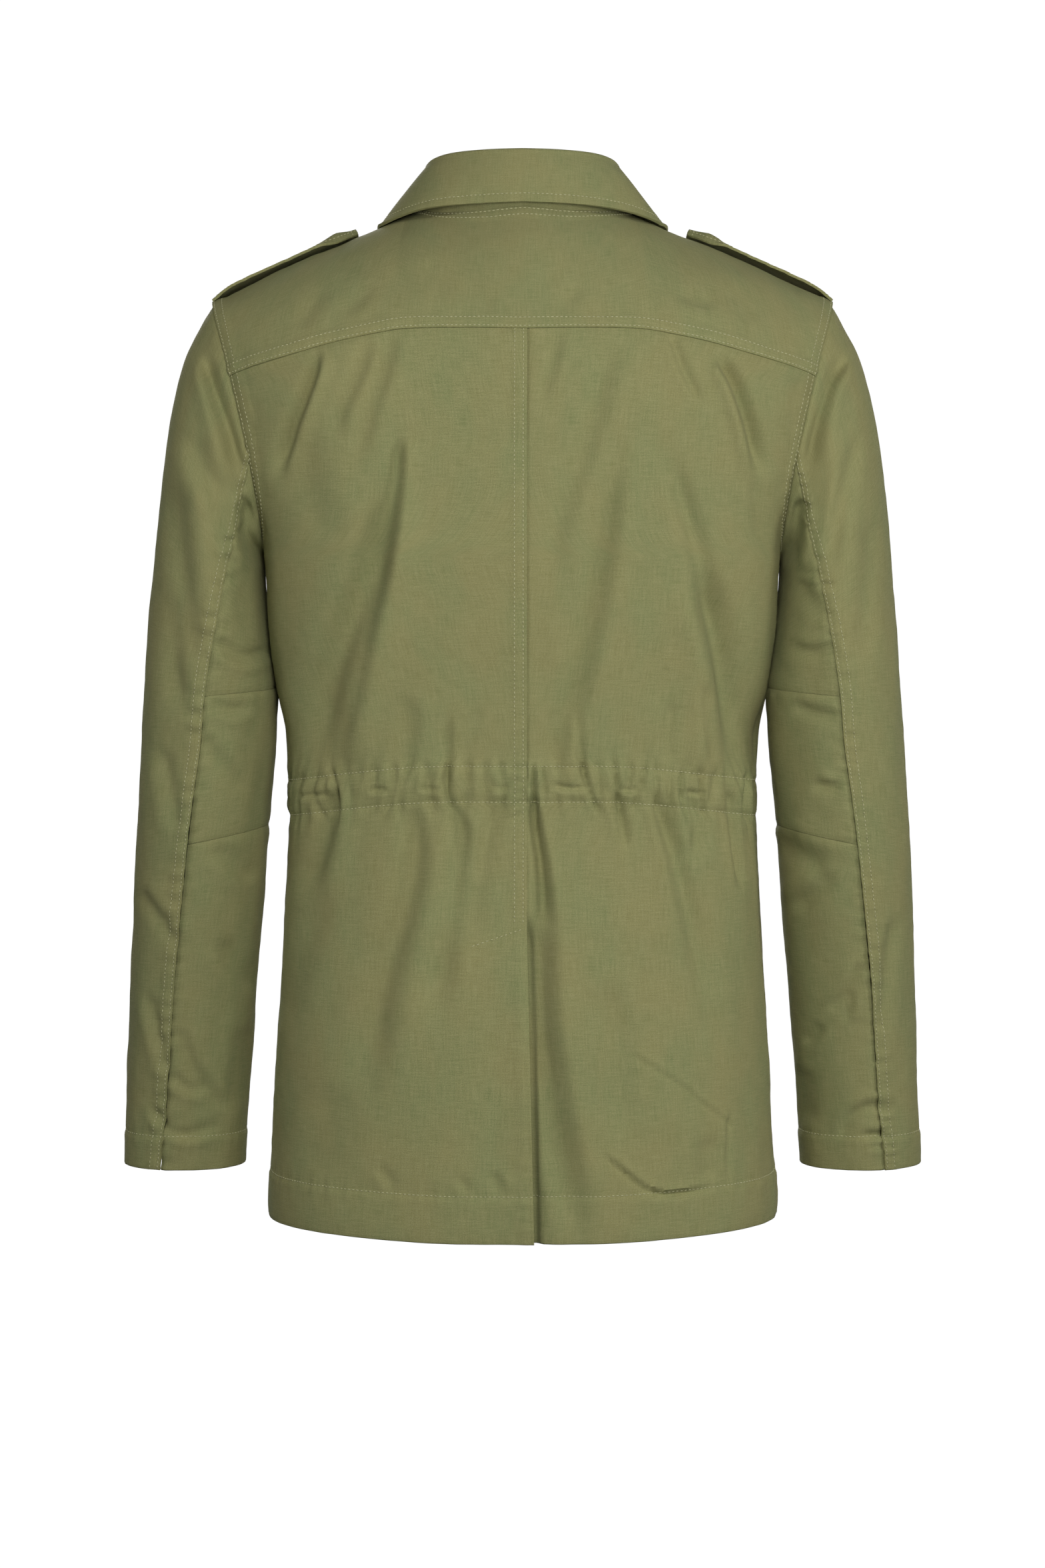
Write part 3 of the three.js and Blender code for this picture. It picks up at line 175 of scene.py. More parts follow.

# Creases and soft troughs: width (or its start and end), depth, height of the
# ridge beside it as a share (its sign picks the side), and the route in x and z. Ends run out.
BACK_CREASES = [
    # between the yoke and the waist, on the wearer's left
    ((4, 6), 3.0, -0.5, [(148, -106), (151, -124), (159, -145), (167, -164), (176, -187), (180, -205)]),
    (14, 1.1, -0.3, [(165, -160), (160, -193), (150, -222), (143, -250)]),
    (6, 1.2, -0.4, [(110, -98), (119, -126), (130, -150), (137, -176)]),
    (6, 1.3, -0.4, [(93, -94), (99, -119), (107, -145), (113, -164), (123, -196)]),
    ((4, 8), 2.0, -0.6, [(89, -168), (90, -185), (92, -205), (96, -232), (101, -262), (106, -290)]),
    ((9, 19), 4.8, -0.5, [(95, -195), (103, -235), (113, -275), (124, -303), (136, -332),
                          (146, -361), (152, -395), (154, -424)]),
    ((6, 8), 1.4, -0.5, [(97, -241), (103, -275), (110, -306), (116, -337), (123, -366), (131, -390),
                         (137, -420)]),
    (7, 1.0, -0.5, [(84, -355), (82, -378), (84, -400), (85, -420)]),
    (3.4, 0.9, -0.4, [(54, -372), (54, -392), (54.5, -412), (54.5, -425)]),
    (6, 0.6, 0.4, [(31, -362), (38, -384), (45, -402), (48, -420)]),
    # the same on the wearer's right
    (9, 1.4, -0.45, [(-63, -96), (-59, -122), (-51, -156), (-41, -188), (-30, -219), (-19, -256),
                     (-14, -280)]),
    ((7, 10), 2.4, -0.4, [(-67, -158), (-65, -203), (-62, -231), (-56, -265), (-50, -299),
                          (-44, -330), (-36, -361),
                         (-26, -385), (-19, -404), (-16, -420)]),
    (5, 0.9, -0.4, [(-27, -90), (-23, -111), (-18, -131), (-12, -150)]),
    (3.6, 1.3, 0.4, [(-104, -94), (-110, -106), (-116, -122), (-124, -138), (-130, -150)]),
    ((4.5, 6), 3.4, 0.5, [(-138, -110), (-146, -120), (-153, -132), (-160, -150), (-166, -169),
                          (-171, -188), (-175, -206)]),
    (6, 0.9, 0.3, [(-168, -200), (-172, -226), (-176, -250)]),
    ((7, 12), 2.6, 0.2, [(-106, -176), (-111, -198), (-119, -224), (-127, -252), (-135, -284),
                         (-142, -312), (-149, -340),
                        (-155, -366), (-159, -388), (-162, -420)]),
    ((12, 18), 4.2, 0.5, [(-128, -262), (-139, -292), (-148, -316), (-154, -344), (-159, -372),
                          (-163, -405), (-164, -425)]),
    (3.4, 1.0, 0.4, [(-42, -368), (-41, -388), (-43, -410), (-44, -424)]),
    (5, 1.2, 0.4, [(-131, -346), (-133, -368), (-136, -392), (-138, -418)]),
    (5, 0.9, 0.4, [(-109, -362), (-106, -384), (-105, -412)]),
    # below the waist, on the wearer's left
    ((5, 13), 3.0, -0.4, [(137, -424), (139, -436), (144, -452), (151, -473), (158, -492),
                          (166, -514)]),
    (12, 1.0, -0.5, [(148, -500), (157, -530), (166, -560), (174, -588), (180, -612)]),
    ((7, 15), 2.4, -0.4, [(81, -432), (79, -448), (78, -468), (81, -491), (88, -519), (97, -548),
                          (105, -577), (110, -606),
                         (117, -634), (124, -656)]),
    ((4, 11), 1.8, -0.4, [(52, -430), (46, -446), (44, -464), (47, -491), (51, -519), (57, -548),
                          (62, -577), (64, -606)]),
    ((5, 9), 1.4, 0.4, [(17, -430), (20, -444), (25, -460), (30, -478), (35, -502), (38, -530),
                        (40, -556)]),
    (17, 0.8, -0.3, [(140, -640), (142, -668), (146, -690), (150, -716)]),
    (4, 0.8, 0.4, [(45, -706), (42, -712), (38, -718)]),
    (4, 0.9, -0.4, [(22, -702), (18, -710), (16, -718)]),
    (4, 0.7, 0.4, [(106, -700), (98, -708), (92, -717)]),
    # the same on the wearer's right
    ((3, 6), 3.2, -0.35, [(-8, -424), (-8, -440), (-10, -456), (-13, -476), (-15, -495), (-16, -514),
                          (-17, -530)]),
    ((8, 12), 2.8, -0.45, [(-12, -480), (-14, -520), (-14, -550), (-15, -590), (-18, -620),
                           (-22, -650), (-27, -680),
                           (-32, -708), (-37, -740), (-40, -780)]),
    (4, 1.6, 0.4, [(-67, -424), (-69, -438), (-73, -452), (-77, -476)]),
    ((4, 10), 2.4, 0.4, [(-96, -424), (-99, -438), (-103, -451), (-109, -467), (-114, -486),
                         (-120, -508), (-127, -540),
                         (-134, -578), (-141, -616)]),
    (5, 1.7, 0.4, [(-119, -424), (-123, -438), (-127, -452), (-127, -466), (-124, -482)]),
    (3.6, 2.0, 0.4, [(-151, -424), (-153, -442), (-156, -466), (-159, -488), (-162, -506)]),
    (9, 1.0, 0.3, [(-133, -680), (-136, -700), (-135, -716)]),
    (1.8, 0.6, -1.0, [(-72, -612), (-86, -622), (-97, -629), (-118, -644), (-135, -659),
                      (-152, -672), (-160, -681)]),
    ((2, 2.6), 1.2, -0.8, [(-54, -686), (-64, -695), (-75, -704), (-87, -714), (-99, -719.5),
                           (-114, -720), (-133, -718.5), (-148, -716)]),
    (2.0, 0.7, 0.6, [(-153, -660), (-151, -684), (-151, -720)]),
    (14, 1.4, 0.3, [(-62, -560), (-68, -620), (-72, -690)]),
    # dips along the middle of the tunnel
    (2.4, 1.1, 0.3, [(-20, -421), (-30, -424.6), (-40, -425), (-50, -422)]),
    (2.2, 0.9, 0.3, [(-70, -425), (-78, -427), (-84, -425)]),
    (2.2, 0.9, 0.3, [(-118, -428), (-126, -430), (-134, -430)]),
    (2.2, 0.8, 0.3, [(166, -434), (154, -433), (142, -431)]),
    (2.4, 1.1, 0.3, [(112, -427), (104, -427), (97, -426)]),
    (2.4, 0.8, 0.3, [(76, -424), (66, -426), (58, -425)]),
    (2.4, 0.8, 0.3, [(24, -423), (16, -425), (8, -424)]),
]
YOKE_CREASES = [
    (5, 0.5, -0.5, [(107, -60), (116, -68), (124, -76), (131, -84)]),
    (7, 0.7, -0.4, [(142, -58), (150, -70), (158, -82), (166, -94)]),
    (6, 0.5, 0.5, [(46, -58), (36, -67), (26, -74), (18, -77)]),
    (6, 0.5, -0.5, [(-43, -58), (-37, -68), (-31, -76), (-28, -84)]),
    (5, 0.8, 0.5, [(-112, -66), (-120, -70), (-130, -73), (-144, -75)]),
    (8, 0.6, 0.4, [(-150, -62), (-160, -76), (-168, -90)]),
    (7, 0.5, 0.4, [(74, -44), (62, -58), (54, -72)]),
]
FRONT_CREASES = [
    (13, 3.0, 0.5, [(140, -80), (154, -124), (170, -170), (178, -214)]),
    (13, 3.0, -0.5, [(-138, -84), (-150, -126), (-168, -168), (-176, -206)]),
    (16, 1.8, 0.4, [(84, -100), (92, -150), (96, -200)]),
    (16, 1.8, -0.4, [(-88, -96), (-98, -150), (-100, -196)]),
    (18, 2.2, 0.4, [(64, -190), (74, -260), (88, -340), (92, -405)]),
    (18, 2.2, -0.4, [(-90, -220), (-84, -290), (-70, -360), (-64, -410)]),
    (12, 2.2, 0.5, [(150, -300), (144, -350), (146, -405)]),
    (12, 2.2, -0.5, [(-148, -310), (-140, -356), (-144, -408)]),
    (14, 2.4, 0.4, [(116, -436), (122, -500), (138, -590), (142, -660)]),
    (13, 2.2, 0.4, [(54, -436), (60, -500), (66, -570)]),
    (15, 2.6, -0.4, [(-58, -436), (-64, -510), (-76, -610), (-78, -690)]),
    (13, 2.2, -0.4, [(-120, -436), (-128, -490), (-140, -550)]),
    (11, 2.0, 0.4, [(88, -436), (92, -490), (94, -540)]),
]

# Sleeve creases seen from behind on the wearer's left sleeve and, mirrored, on the right one,
# and others made up for the side that faces forward
SLEEVE_BACK_CREASES = {
    1: [
        ((5, 9), 3.4, 0.4, [(233, -110), (230, -118), (225, -133), (218, -151), (212, -168),
                            (207, -187), (203, -204)]),
        (9, 1.7, 0.4, [(243, -166), (238, -180), (233, -194), (224, -209), (216, -222)]),
        (11, 2.2, -0.4, [(256, -196), (255, -221), (252, -255), (248, -289), (244, -319), (240, -340)]),
        (8, 1.4, -0.4, [(263, -270), (260, -314), (256, -348), (248, -378)]),
        (5, 3.2, 0.4, [(206, -212), (202, -226), (203, -241), (198, -256), (194, -268)]),
        (5, 1.4, 0.5, [(226, -317), (218, -324), (208, -331), (196, -329), (188, -324)]),
        (5, 1.3, 0.5, [(234, -362), (222, -367), (211, -370), (200, -367)]),
        (6, 1.0, -0.5, [(238, -388), (230, -398), (221, -409), (212, -423), (204, -438)]),
        (6, 1.3, 0.4, [(266, -396), (262, -420), (258, -444), (257, -466)]),
        (7, 1.3, 0.5, [(230, -470), (218, -480), (206, -492), (200, -500)]),
        (6, 1.1, -0.5, [(288, -503), (280, -514), (271, -526), (262, -538), (254, -548)]),
        (8, 1.4, 0.4, [(224, -540), (216, -556), (207, -572), (202, -586)]),
        (5, 1.1, -0.5, [(256, -604), (252, -622), (247, -637), (238, -652), (230, -665), (220, -676)]),
        (5, 1.1, 0.4, [(280, -580), (276, -604), (270, -628), (264, -652)]),
        (7, 1.3, -0.3, [(208, -606), (210, -630), (214, -655), (216, -676)]),
        ((4, 5), 0.9, 0.5, [(280, -662), (274, -676), (266, -686), (250, -690), (236, -686),
                            (222, -683)]),
        (4, 1.0, 0.5, [(262, -640), (256, -652), (244, -656), (234, -650)]),
    ],
    -1: [
        ((5, 9), 3.2, 0.4, [(237, -108), (233, -116), (224, -128), (216, -148), (211, -168),
                            (209, -187), (206, -204)]),
        (6, 1.6, -0.4, [(247, -164), (242, -182), (237, -202), (231, -230), (228, -252), (226, -270)]),
        (11, 1.6, -0.4, [(258, -220), (256, -260), (252, -306), (250, -344)]),
        (5, 3.2, 0.4, [(206, -212), (202, -226), (201, -241), (198, -256), (195, -268)]),
        (6, 0.9, 0.5, [(202, -274), (208, -284), (216, -295), (222, -306)]),
        (5, 1.1, 0.5, [(196, -322), (210, -328), (222, -326), (232, -320)]),
        (5, 1.2, 0.5, [(198, -366), (210, -371), (222, -374), (234, -376)]),
        (4, 1.8, 0.5, [(214, -424), (220, -426), (228, -427), (234, -425)]),
        ((10, 9), 1.8, 0.4, [(190, -466), (198, -473), (208, -480), (217, -484), (227, -489)]),
        (7, 1.6, -0.5, [(226, -489), (222, -502), (212, -512), (200, -524)]),
        ((3.4, 4), 1.3, -0.5, [(252, -558), (248, -567), (242, -579), (234, -590), (228, -598)]),
        (3.4, 1.3, 0.5, [(246, -580), (243, -592), (241, -604)]),
        (5, 1.1, 0.4, [(224, -606), (218, -616), (210, -624)]),
        (6, 1.2, -0.4, [(280, -520), (274, -552), (270, -590), (268, -620)]),
        ((4, 5), 1.0, 0.5, [(238, -694), (242, -686), (247, -676), (257, -670), (272, -670),
                            (282, -674)]),
        (3.6, 1.1, 0.5, [(254, -690), (264, -691), (274, -689)]),
        (8, 1.3, -0.3, [(210, -640), (212, -664), (216, -690)]),
    ],
}
SLEEVE_FRONT_CREASES = [
    (9, 2.4, 0.5, [(238, -118), (226, -140), (214, -168)]),
    (10, 2.4, 0.5, [(262, -330), (240, -352), (214, -366), (196, -372)]),
    (9, 2.6, -0.5, [(268, -378), (246, -392), (218, -398), (194, -392)]),
    (8, 2.2, 0.4, [(262, -424), (240, -420), (216, -424), (198, -432)]),
    (9, 1.8, 0.4, [(278, -500), (258, -514), (234, -520)]),
    (9, 1.6, -0.4, [(270, -590), (252, -604), (232, -608)]),
    (8, 1.4, 0.4, [(284, -640), (266, -656), (246, -660)]),
]


# Plain mathematics
def smoothstep(value, low, high):
    t = np.clip((value - low) / (high - low), 0, 1)
    return t * t * (3 - 2 * t)


def bell(distance, width):
    return np.exp(-((distance / width) ** 2))


def unit(vectors):
    return vectors / np.linalg.norm(vectors, axis=-1, keepdims=True)


def stack(x, y, z):
    return np.stack(np.broadcast_arrays(x, y, z), axis=-1).astype(float)


def read_table(table, at):
    """Cubic reading of a table by its first column, for every value of at."""
    rows = np.array(table, float)
    at = np.asarray(at, float)
    way = np.sign(rows[-1, 0] - rows[0, 0])
    row = np.clip(np.searchsorted(way * rows[:, 0], way * at) - 1, 0, len(rows) - 2)
    before = rows[np.maximum(row - 1, 0)]
    start = rows[row]
    end = rows[row + 1]
    after = rows[np.minimum(row + 2, len(rows) - 1)]
    span = (end - start)[..., :1]
    t = np.clip((at[..., None] - start[..., :1]) / span, 0, 1)
    slope_start = (end - before) / (end - before)[..., :1] * span
    slope_end = (after - start) / (after - start)[..., :1] * span
    return ((2 * t**3 - 3 * t**2 + 1) * start + (t**3 - 2 * t**2 + t) * slope_start
            + (3 * t**2 - 2 * t**3) * end + (t**3 - t**2) * slope_end)


def waves(u, v, period, seed, count=7):
    """Soft uneven relief of about unit height, from a few crossing waves."""
    draw = np.random.default_rng(seed)
    total = 0
    for _ in range(count):
        turn, phase = draw.uniform(0, 2 * np.pi, 2)
        length = period * draw.uniform(0.7, 1.6)
        total = total + np.sin(2 * np.pi * (u * np.cos(turn) + v * np.sin(turn)) / length + phase)
    return total / math.sqrt(count / 2)


def ripple(along, period, seed, count=5):
    """Uneven puckers along a seam, of about unit height."""
    draw = np.random.default_rng(seed)
    total = 0
    for _ in range(count):
        length = period * draw.uniform(0.6, 1.7)
        total = total + np.sin(2 * np.pi * along / length + draw.uniform(0, 2 * np.pi))
    return total / math.sqrt(count / 2)


def smooth_route(route, steps=6):
    """Points along a smooth curve through the points of a route."""
    points = np.array(route, float)
    padded = np.vstack([2 * points[0] - points[1], points, 2 * points[-1] - points[-2]])
    line = []
    for i in range(len(points) - 1):
        a, b, c, d = padded[i:i + 4]
        for t in np.arange(steps) / steps:
            line.append(b + t * (c - a) / 2 + t**2 * (2 * a - 5 * b + 4 * c - d) / 2
                        + t**3 * (3 * b - 3 * c + d - a) / 2)
    line.append(points[-1])
    return np.array(line)


def crease_lift(x, z, creases):
    """Lift of the cloth from a table of creases, at places seen from behind or in front."""
    lift = np.zeros(x.shape)
    for widths, depth, ridge, route in creases:
        first_width, last_width = np.broadcast_to(widths, 2)
        line = smooth_route(route)
        reach = 4 * max(first_width, last_width)
        near = ((x > line[:, 0].min() - reach) & (x < line[:, 0].max() + reach)
                & (z > line[:, 1].min() - reach) & (z < line[:, 1].max() + reach))
        if not near.any():
            continue
        place = np.stack([x[near], z[near]], -1)[:, None]
        step = np.diff(line, axis=0)
        share = np.clip(((place - line[:-1]) * step).sum(-1) / (step**2).sum(-1), 0, 1)
        away = place - line[:-1] - share[..., None] * step
        distance = np.linalg.norm(away, axis=-1)
        nearest = distance.argmin(1)
        pick = np.arange(len(nearest))
        side = np.sign(step[nearest, 0] * away[pick, nearest, 1] - step[nearest, 1] * away[pick, nearest, 0])
        signed = distance[pick, nearest] * side * np.sign(ridge)
        along = (nearest + share[pick, nearest]) / len(step)
        width = first_width + (last_width - first_width) * along
        strength = RELIEF * depth * smoothstep(along, 0, 0.22) * (1 - smoothstep(along, 0.72, 1))
        lift[near] += strength * (abs(ridge) * bell(signed - 1.6 * width, width) - bell(signed, width))
    return lift


# Torso form
def armhole_x(z):
    slope = (ARMHOLE["top_x"] - ARMHOLE["bottom_x"]) / (ARMHOLE["top_z"] - ARMHOLE["bottom_z"])
    hollow = ARMHOLE["hollow"] * np.maximum(0, 1 - ((z - CHEST_Z) / ARMHOLE_HALF) ** 2)
    return ARMHOLE["top_x"] + (z - ARMHOLE["top_z"]) * slope - hollow


def armhole_depth(z):
    below = np.clip((CHEST_Z - z) / ARMHOLE_HALF, 0, 1)
    return ARMHOLE["depth"] * np.sqrt(1 - below**2)


def shoulder_rise(share):
    return SHOULDER["top"] - SHOULDER["fall"] * np.hypot(share, SHOULDER["round"]) - CHEST_Z


def chest_depth(face, share):
    depth = np.where(face == BACK, CHEST[BACK], CHEST[FRONT])
    power = CHEST["square"]
    corner = (1 - (ARMHOLE["depth"] / depth) ** power) ** (1 / power)
    return depth * np.maximum(1 - (corner * share) ** power, 0.02) ** (1 / power)


def upper_point(share, angle):
    """Point over the shoulders: the angle is 0 at the back's chest line and pi in front."""
    size = np.abs(share)
    face = np.where(angle <= np.pi / 2, BACK, FRONT)
    z = CHEST_Z + shoulder_rise(size) * np.sin(angle)
    y = chest_depth(face, size) * np.cos(angle)
    return stack(share * armhole_x(z), y, z)


def upper_place(x, y):
    """Share and angle of the shoulder form under a point seen from above."""
    face = np.where(y >= 0, BACK, FRONT)
    z = np.zeros(np.broadcast(x, y).shape)
    for _ in range(12):
        share = x / armhole_x(z)
        cosine = np.clip(y / chest_depth(face, np.abs(share)), -1, 1)
        z = CHEST_Z + shoulder_rise(np.abs(share)) * np.sqrt(1 - cosine**2)
    return share, np.arccos(cosine)


def section_size(face, z):
    _, side, back, front, square = np.moveaxis(read_table(BODY, z), -1, 0)
    depth = np.where(face == BACK, back, front)
    in_armhole = z > ARMHOLE["bottom_z"]
    edge = np.where(in_armhole, armhole_depth(z) / depth, 0) ** square
    side = np.where(in_armhole, armhole_x(z) / (1 - edge) ** (1 / square), side)
    return side, depth, square


def section_radius(turn, side, depth, square):
    across = (np.sin(turn) / side) ** square
    along = (np.maximum(np.cos(turn), 0) / depth) ** square
    return (across + along) ** (-1 / square)


LADDER_Z = np.arange(HEM_Z - 6, CHEST_Z + 1, 3.0)
LADDER_SHARES = np.linspace(0, 1, 161)


def section_ladder(face):
    """Lengths of the sections at every height, and turns of their evenly spaced points."""
    side, depth, square = section_size(face, LADDER_Z)
    end = np.where(LADDER_Z > ARMHOLE["bottom_z"],
                   np.arctan2(armhole_x(LADDER_Z), armhole_depth(LADDER_Z)), np.pi / 2)
    turn = end[:, None] * np.linspace(0, 1, 500)
    radius = section_radius(turn, side[:, None], depth[:, None], square[:, None])
    steps = np.hypot(np.diff(radius * np.sin(turn)), np.diff(radius * np.cos(turn)))
    length = np.concatenate([np.zeros((len(turn), 1)), np.cumsum(steps, 1)], 1)
    turns = [np.interp(LADDER_SHARES * row[-1], row, angles) for row, angles in zip(length, turn)]
    return length[:, -1], np.array(turns)


LADDERS = {face: section_ladder(face) for face in (BACK, FRONT)}


def section_length(face, z):
    return np.interp(z, LADDER_Z, LADDERS[face][0])


def lower_point(face, distance, z):
    """Point below the chest line, at a distance round the cloth from the centre line."""
    distance, z = np.broadcast_arrays(distance, z)
    turns = LADDERS[face][1]
    row = np.clip((z - LADDER_Z[0]) / (LADDER_Z[1] - LADDER_Z[0]), 0, len(LADDER_Z) - 1.001)
    column = np.clip(np.abs(distance) / section_length(face, z), 0, 0.99999) * (len(LADDER_SHARES) - 1)
    low = row.astype(int)
    left = column.astype(int)
    up = row - low
    right = column - left
    turn = ((1 - up) * ((1 - right) * turns[low, left] + right * turns[low, left + 1])
            + up * ((1 - right) * turns[low + 1, left] + right * turns[low + 1, left + 1]))
    radius = section_radius(turn, *section_size(face, z))
    return stack(np.sign(distance) * radius * np.sin(turn), face * radius * np.cos(turn), z)


def torso_field(point):
    """Zero on the torso form, positive outside it."""
    x = np.abs(point[..., 0])
    y = point[..., 1]
    z = point[..., 2]
    face = np.where(y >= 0, BACK, FRONT)
    share = x / armhole_x(z)
    rise = (z - CHEST_Z) / shoulder_rise(share)
    upper = (y / chest_depth(face, share)) ** 2 + rise**2 - 1
    side, depth, square = section_size(face, np.minimum(z, CHEST_Z))
    lower = (x / side) ** square + (np.abs(y) / depth) ** square - 1
    return np.where(z > CHEST_Z, upper, lower)


def torso_gradient(point, step=0.05):
    gradient = []
    for axis in np.eye(3) * step:
        gradient.append((torso_field(point + axis) - torso_field(point - axis)) / (2 * step))
    return np.stack(gradient, -1)


def torso_normal(point):
    return unit(torso_gradient(point))


def stand_clear(point, clearance):
    for _ in range(3):
        gradient = torso_gradient(point)
        size = np.linalg.norm(gradient, axis=-1, keepdims=True)
        short = clearance - torso_field(point)[..., None] / size
        point = point + gradient / size * np.maximum(short, 0)
    return point


def torso_y(face, x, z):
    size = np.abs(x)
    share = size / armhole_x(z)
    rise = np.clip((z - CHEST_Z) / shoulder_rise(share), -1, 1)
    upper = face * chest_depth(face, share) * np.sqrt(1 - rise**2)
    side, depth, square = section_size(face, np.minimum(z, CHEST_Z))
    lower = face * depth * (1 - (size / side) ** square) ** (1 / square)
    return np.where(z > CHEST_Z, upper, lower)


def waist_drop(distance):
    return WAIST_DROP * smoothstep(np.abs(distance), 50, 230)


# Relief of the body cloth
def side_ease(normals, height):
    """Lets the cloth lie a little inside the form at its sides, where creases would widen it,
    and a little outside it where the sleeves press on it."""
    sideways = bell(normals[..., 1], 0.4)
    pressed = smoothstep(height, -390, -355) * smoothstep(-height, 235, 260)
    return sideways * (2.4 * pressed - 1.3 * smoothstep(-height, 400, 440))


def gather_lift(x, height, gathers):
    """Gathers of the tunnel: sharp between its two stitched rows, softer past them."""
    lift = np.zeros(x.shape)
    inside = np.clip(height / TUNNEL_TOP, -1.5, 1.5)
    outside = np.maximum(np.abs(height) - TUNNEL_TOP, 0)
    for at, depth, width, lean, bow, above, below in gathers:
        centre = at + lean * inside + bow * (inside**2 - 0.5)
        reach = np.where(height > 0, above, below)
        strength = depth * bell(outside, reach) * (0.5 + 0.5 * bell(outside, 4))
        spread = width * (1 + outside / 22)
        away = x - centre
        ridges = bell(away - 2.1 * spread, spread) + bell(away + 2.1 * spread, spread)
        lift += strength * (0.4 * ridges - 0.8 * bell(away, spread) - 0.6 * bell(away, 0.5 * spread))
    return lift


def tunnel_lift(distance, x, z, gathers, seed):
    height = z - WAIST_Z + waist_drop(distance)
    bulge = 1.5 * np.maximum(0, 1 - (height / TUNNEL_TOP) ** 2)
    pinch = -0.55 * (bell(height - TUNNEL_TOP, 1.7) + bell(height - TUNNEL_BOTTOM, 1.7))
    near = bell(height, 24)
    puckers = 0.34 * ripple(distance + 0.25 * height, 9, seed)
    unevenness = 0.3 * waves(distance, height, 14, seed + 1)
    return bulge + pinch + near * (puckers + unevenness) + gather_lift(x, height, gathers)


def cloth_sway(u, v, seed):
    """Slow unevenness that every panel of soft cloth has."""
    broad = 0.5 * waves(u, 0.45 * v, 95, seed)
    middling = 0.2 * waves(u, 0.7 * v, 34, seed + 1)
    fine = 0.07 * waves(u, v, 13, seed + 2)
    return broad + middling + fine


def felled(inset, along, seed, rows=TOPSTITCH, proud=0.75, pucker=0.22, period=9):
    """A felled seam's edge: thicker as far as its second row, drawn in along each row."""
    strip = proud * (1 - smoothstep(inset, rows[-1] + 0.6, rows[-1] + 3))
    drawn = sum(-0.3 * bell(inset - row, 1.0) for row in rows)
    wrinkle = pucker * ripple(along, period, seed) * bell(inset - sum(rows) / len(rows), 6.5)
    return strip + drawn + wrinkle


def tucked(inset, depth=1.7, width=4.5):
    """The edge that goes under a felled one."""
    return -depth * (1 - smoothstep(inset, 0, width))


# Meshes
def finer(stops, pitch):
    """Fills the gaps between the stops with steps of about the pitch."""
    filled = [stops[0]]
    for start, end in zip(stops, stops[1:]):
        count = max(1, round(abs(end - start) / pitch))
        filled += [start + (end - start) * step / count for step in range(1, count + 1)]
    return np.array(filled)


def seam_columns(length, pitch, near=(), far=()):
    """Columns as shares of the row plus fixed insets near its two edges, in millimetres."""
    near_stops = [0.0, *near]
    far_stops = [0.0, *far]
    middle = finer([near_stops[-1], length - far_stops[-1]], pitch)[1:-1]
    between = length - near_stops[-1] - far_stops[-1]
    shares = [0.0] * len(near_stops) + list((middle - near_stops[-1]) / between)
    offsets = list(near_stops)
    for share in shares[len(near_stops):]:
        offsets.append(near_stops[-1] * (1 - share) - far_stops[-1] * share)
    shares += [1.0] * len(far_stops)
    offsets += [-inset for inset in reversed(far_stops)]
    return np.array(shares), np.array(offsets)


def lengths_down(points):
    """Length along each column of a sheet, from its first row."""
    steps = np.linalg.norm(np.diff(points, axis=0), axis=-1)
    return np.concatenate([np.zeros((1, points.shape[1])), np.cumsum(steps, 0)])


def surface_normals(points, outward):
    normals = unit(np.cross(np.gradient(points, axis=0), np.gradient(points, axis=1)))
    return normals * np.sign((normals * outward).sum(-1, keepdims=True))


def cloth_uv(points):
    """Distances across and down a sheet in metres, measured on the sheet itself."""
    across = np.linalg.norm(np.diff(points, axis=1), axis=-1)
    down = np.linalg.norm(np.diff(points, axis=0), axis=-1)
    u = np.concatenate([np.zeros((len(points), 1)), np.cumsum(across, 1)], 1)
    u = u - u[:, [u.shape[1] // 2]]
    v = np.concatenate([[0], -np.cumsum(down.mean(1))])
    return np.stack([u, v[:, None] + 0 * u], -1) * MM


TURN_STEPS = (45, 90, 135, 180)
TURN_ROWS = len(TURN_STEPS)


def turn_in(points, outward, down, depth, gap=CLOTH + 0.25):
    """Adds a turned hem: the sheet goes round its lower edge and up inside."""
    radius = gap / 2 + 0.4
    rows = [points]
    edge = points[-1]
    normal = outward[-1]
    for turn in TURN_STEPS:
        swing = math.radians(turn)
        rows.append((edge + normal * radius * (math.cos(swing) - 1) + down * radius * math.sin(swing))[None])
    lengths = np.cumsum(np.linalg.norm(np.diff(points[::-1], axis=0), axis=-1).mean(1))
    inner_rows = int(np.searchsorted(lengths, depth)) + 1
    for row in range(1, inner_rows + 1):
        rows.append((points[-1 - row] - outward[-1 - row] * 2 * radius)[None])
    return np.concatenate(rows)


def turn_up(points, facing, depth):
    """A sheet with its hem turned up, and the way that each of its rows faces."""
    hemmed = turn_in(points, facing, DOWN, depth)
    wide_facing = np.concatenate([facing, np.repeat(facing[-1:], len(hemmed) - len(points), 0)])
    wide_facing[len(points) + TURN_ROWS:] *= -1
    return hemmed, wide_facing


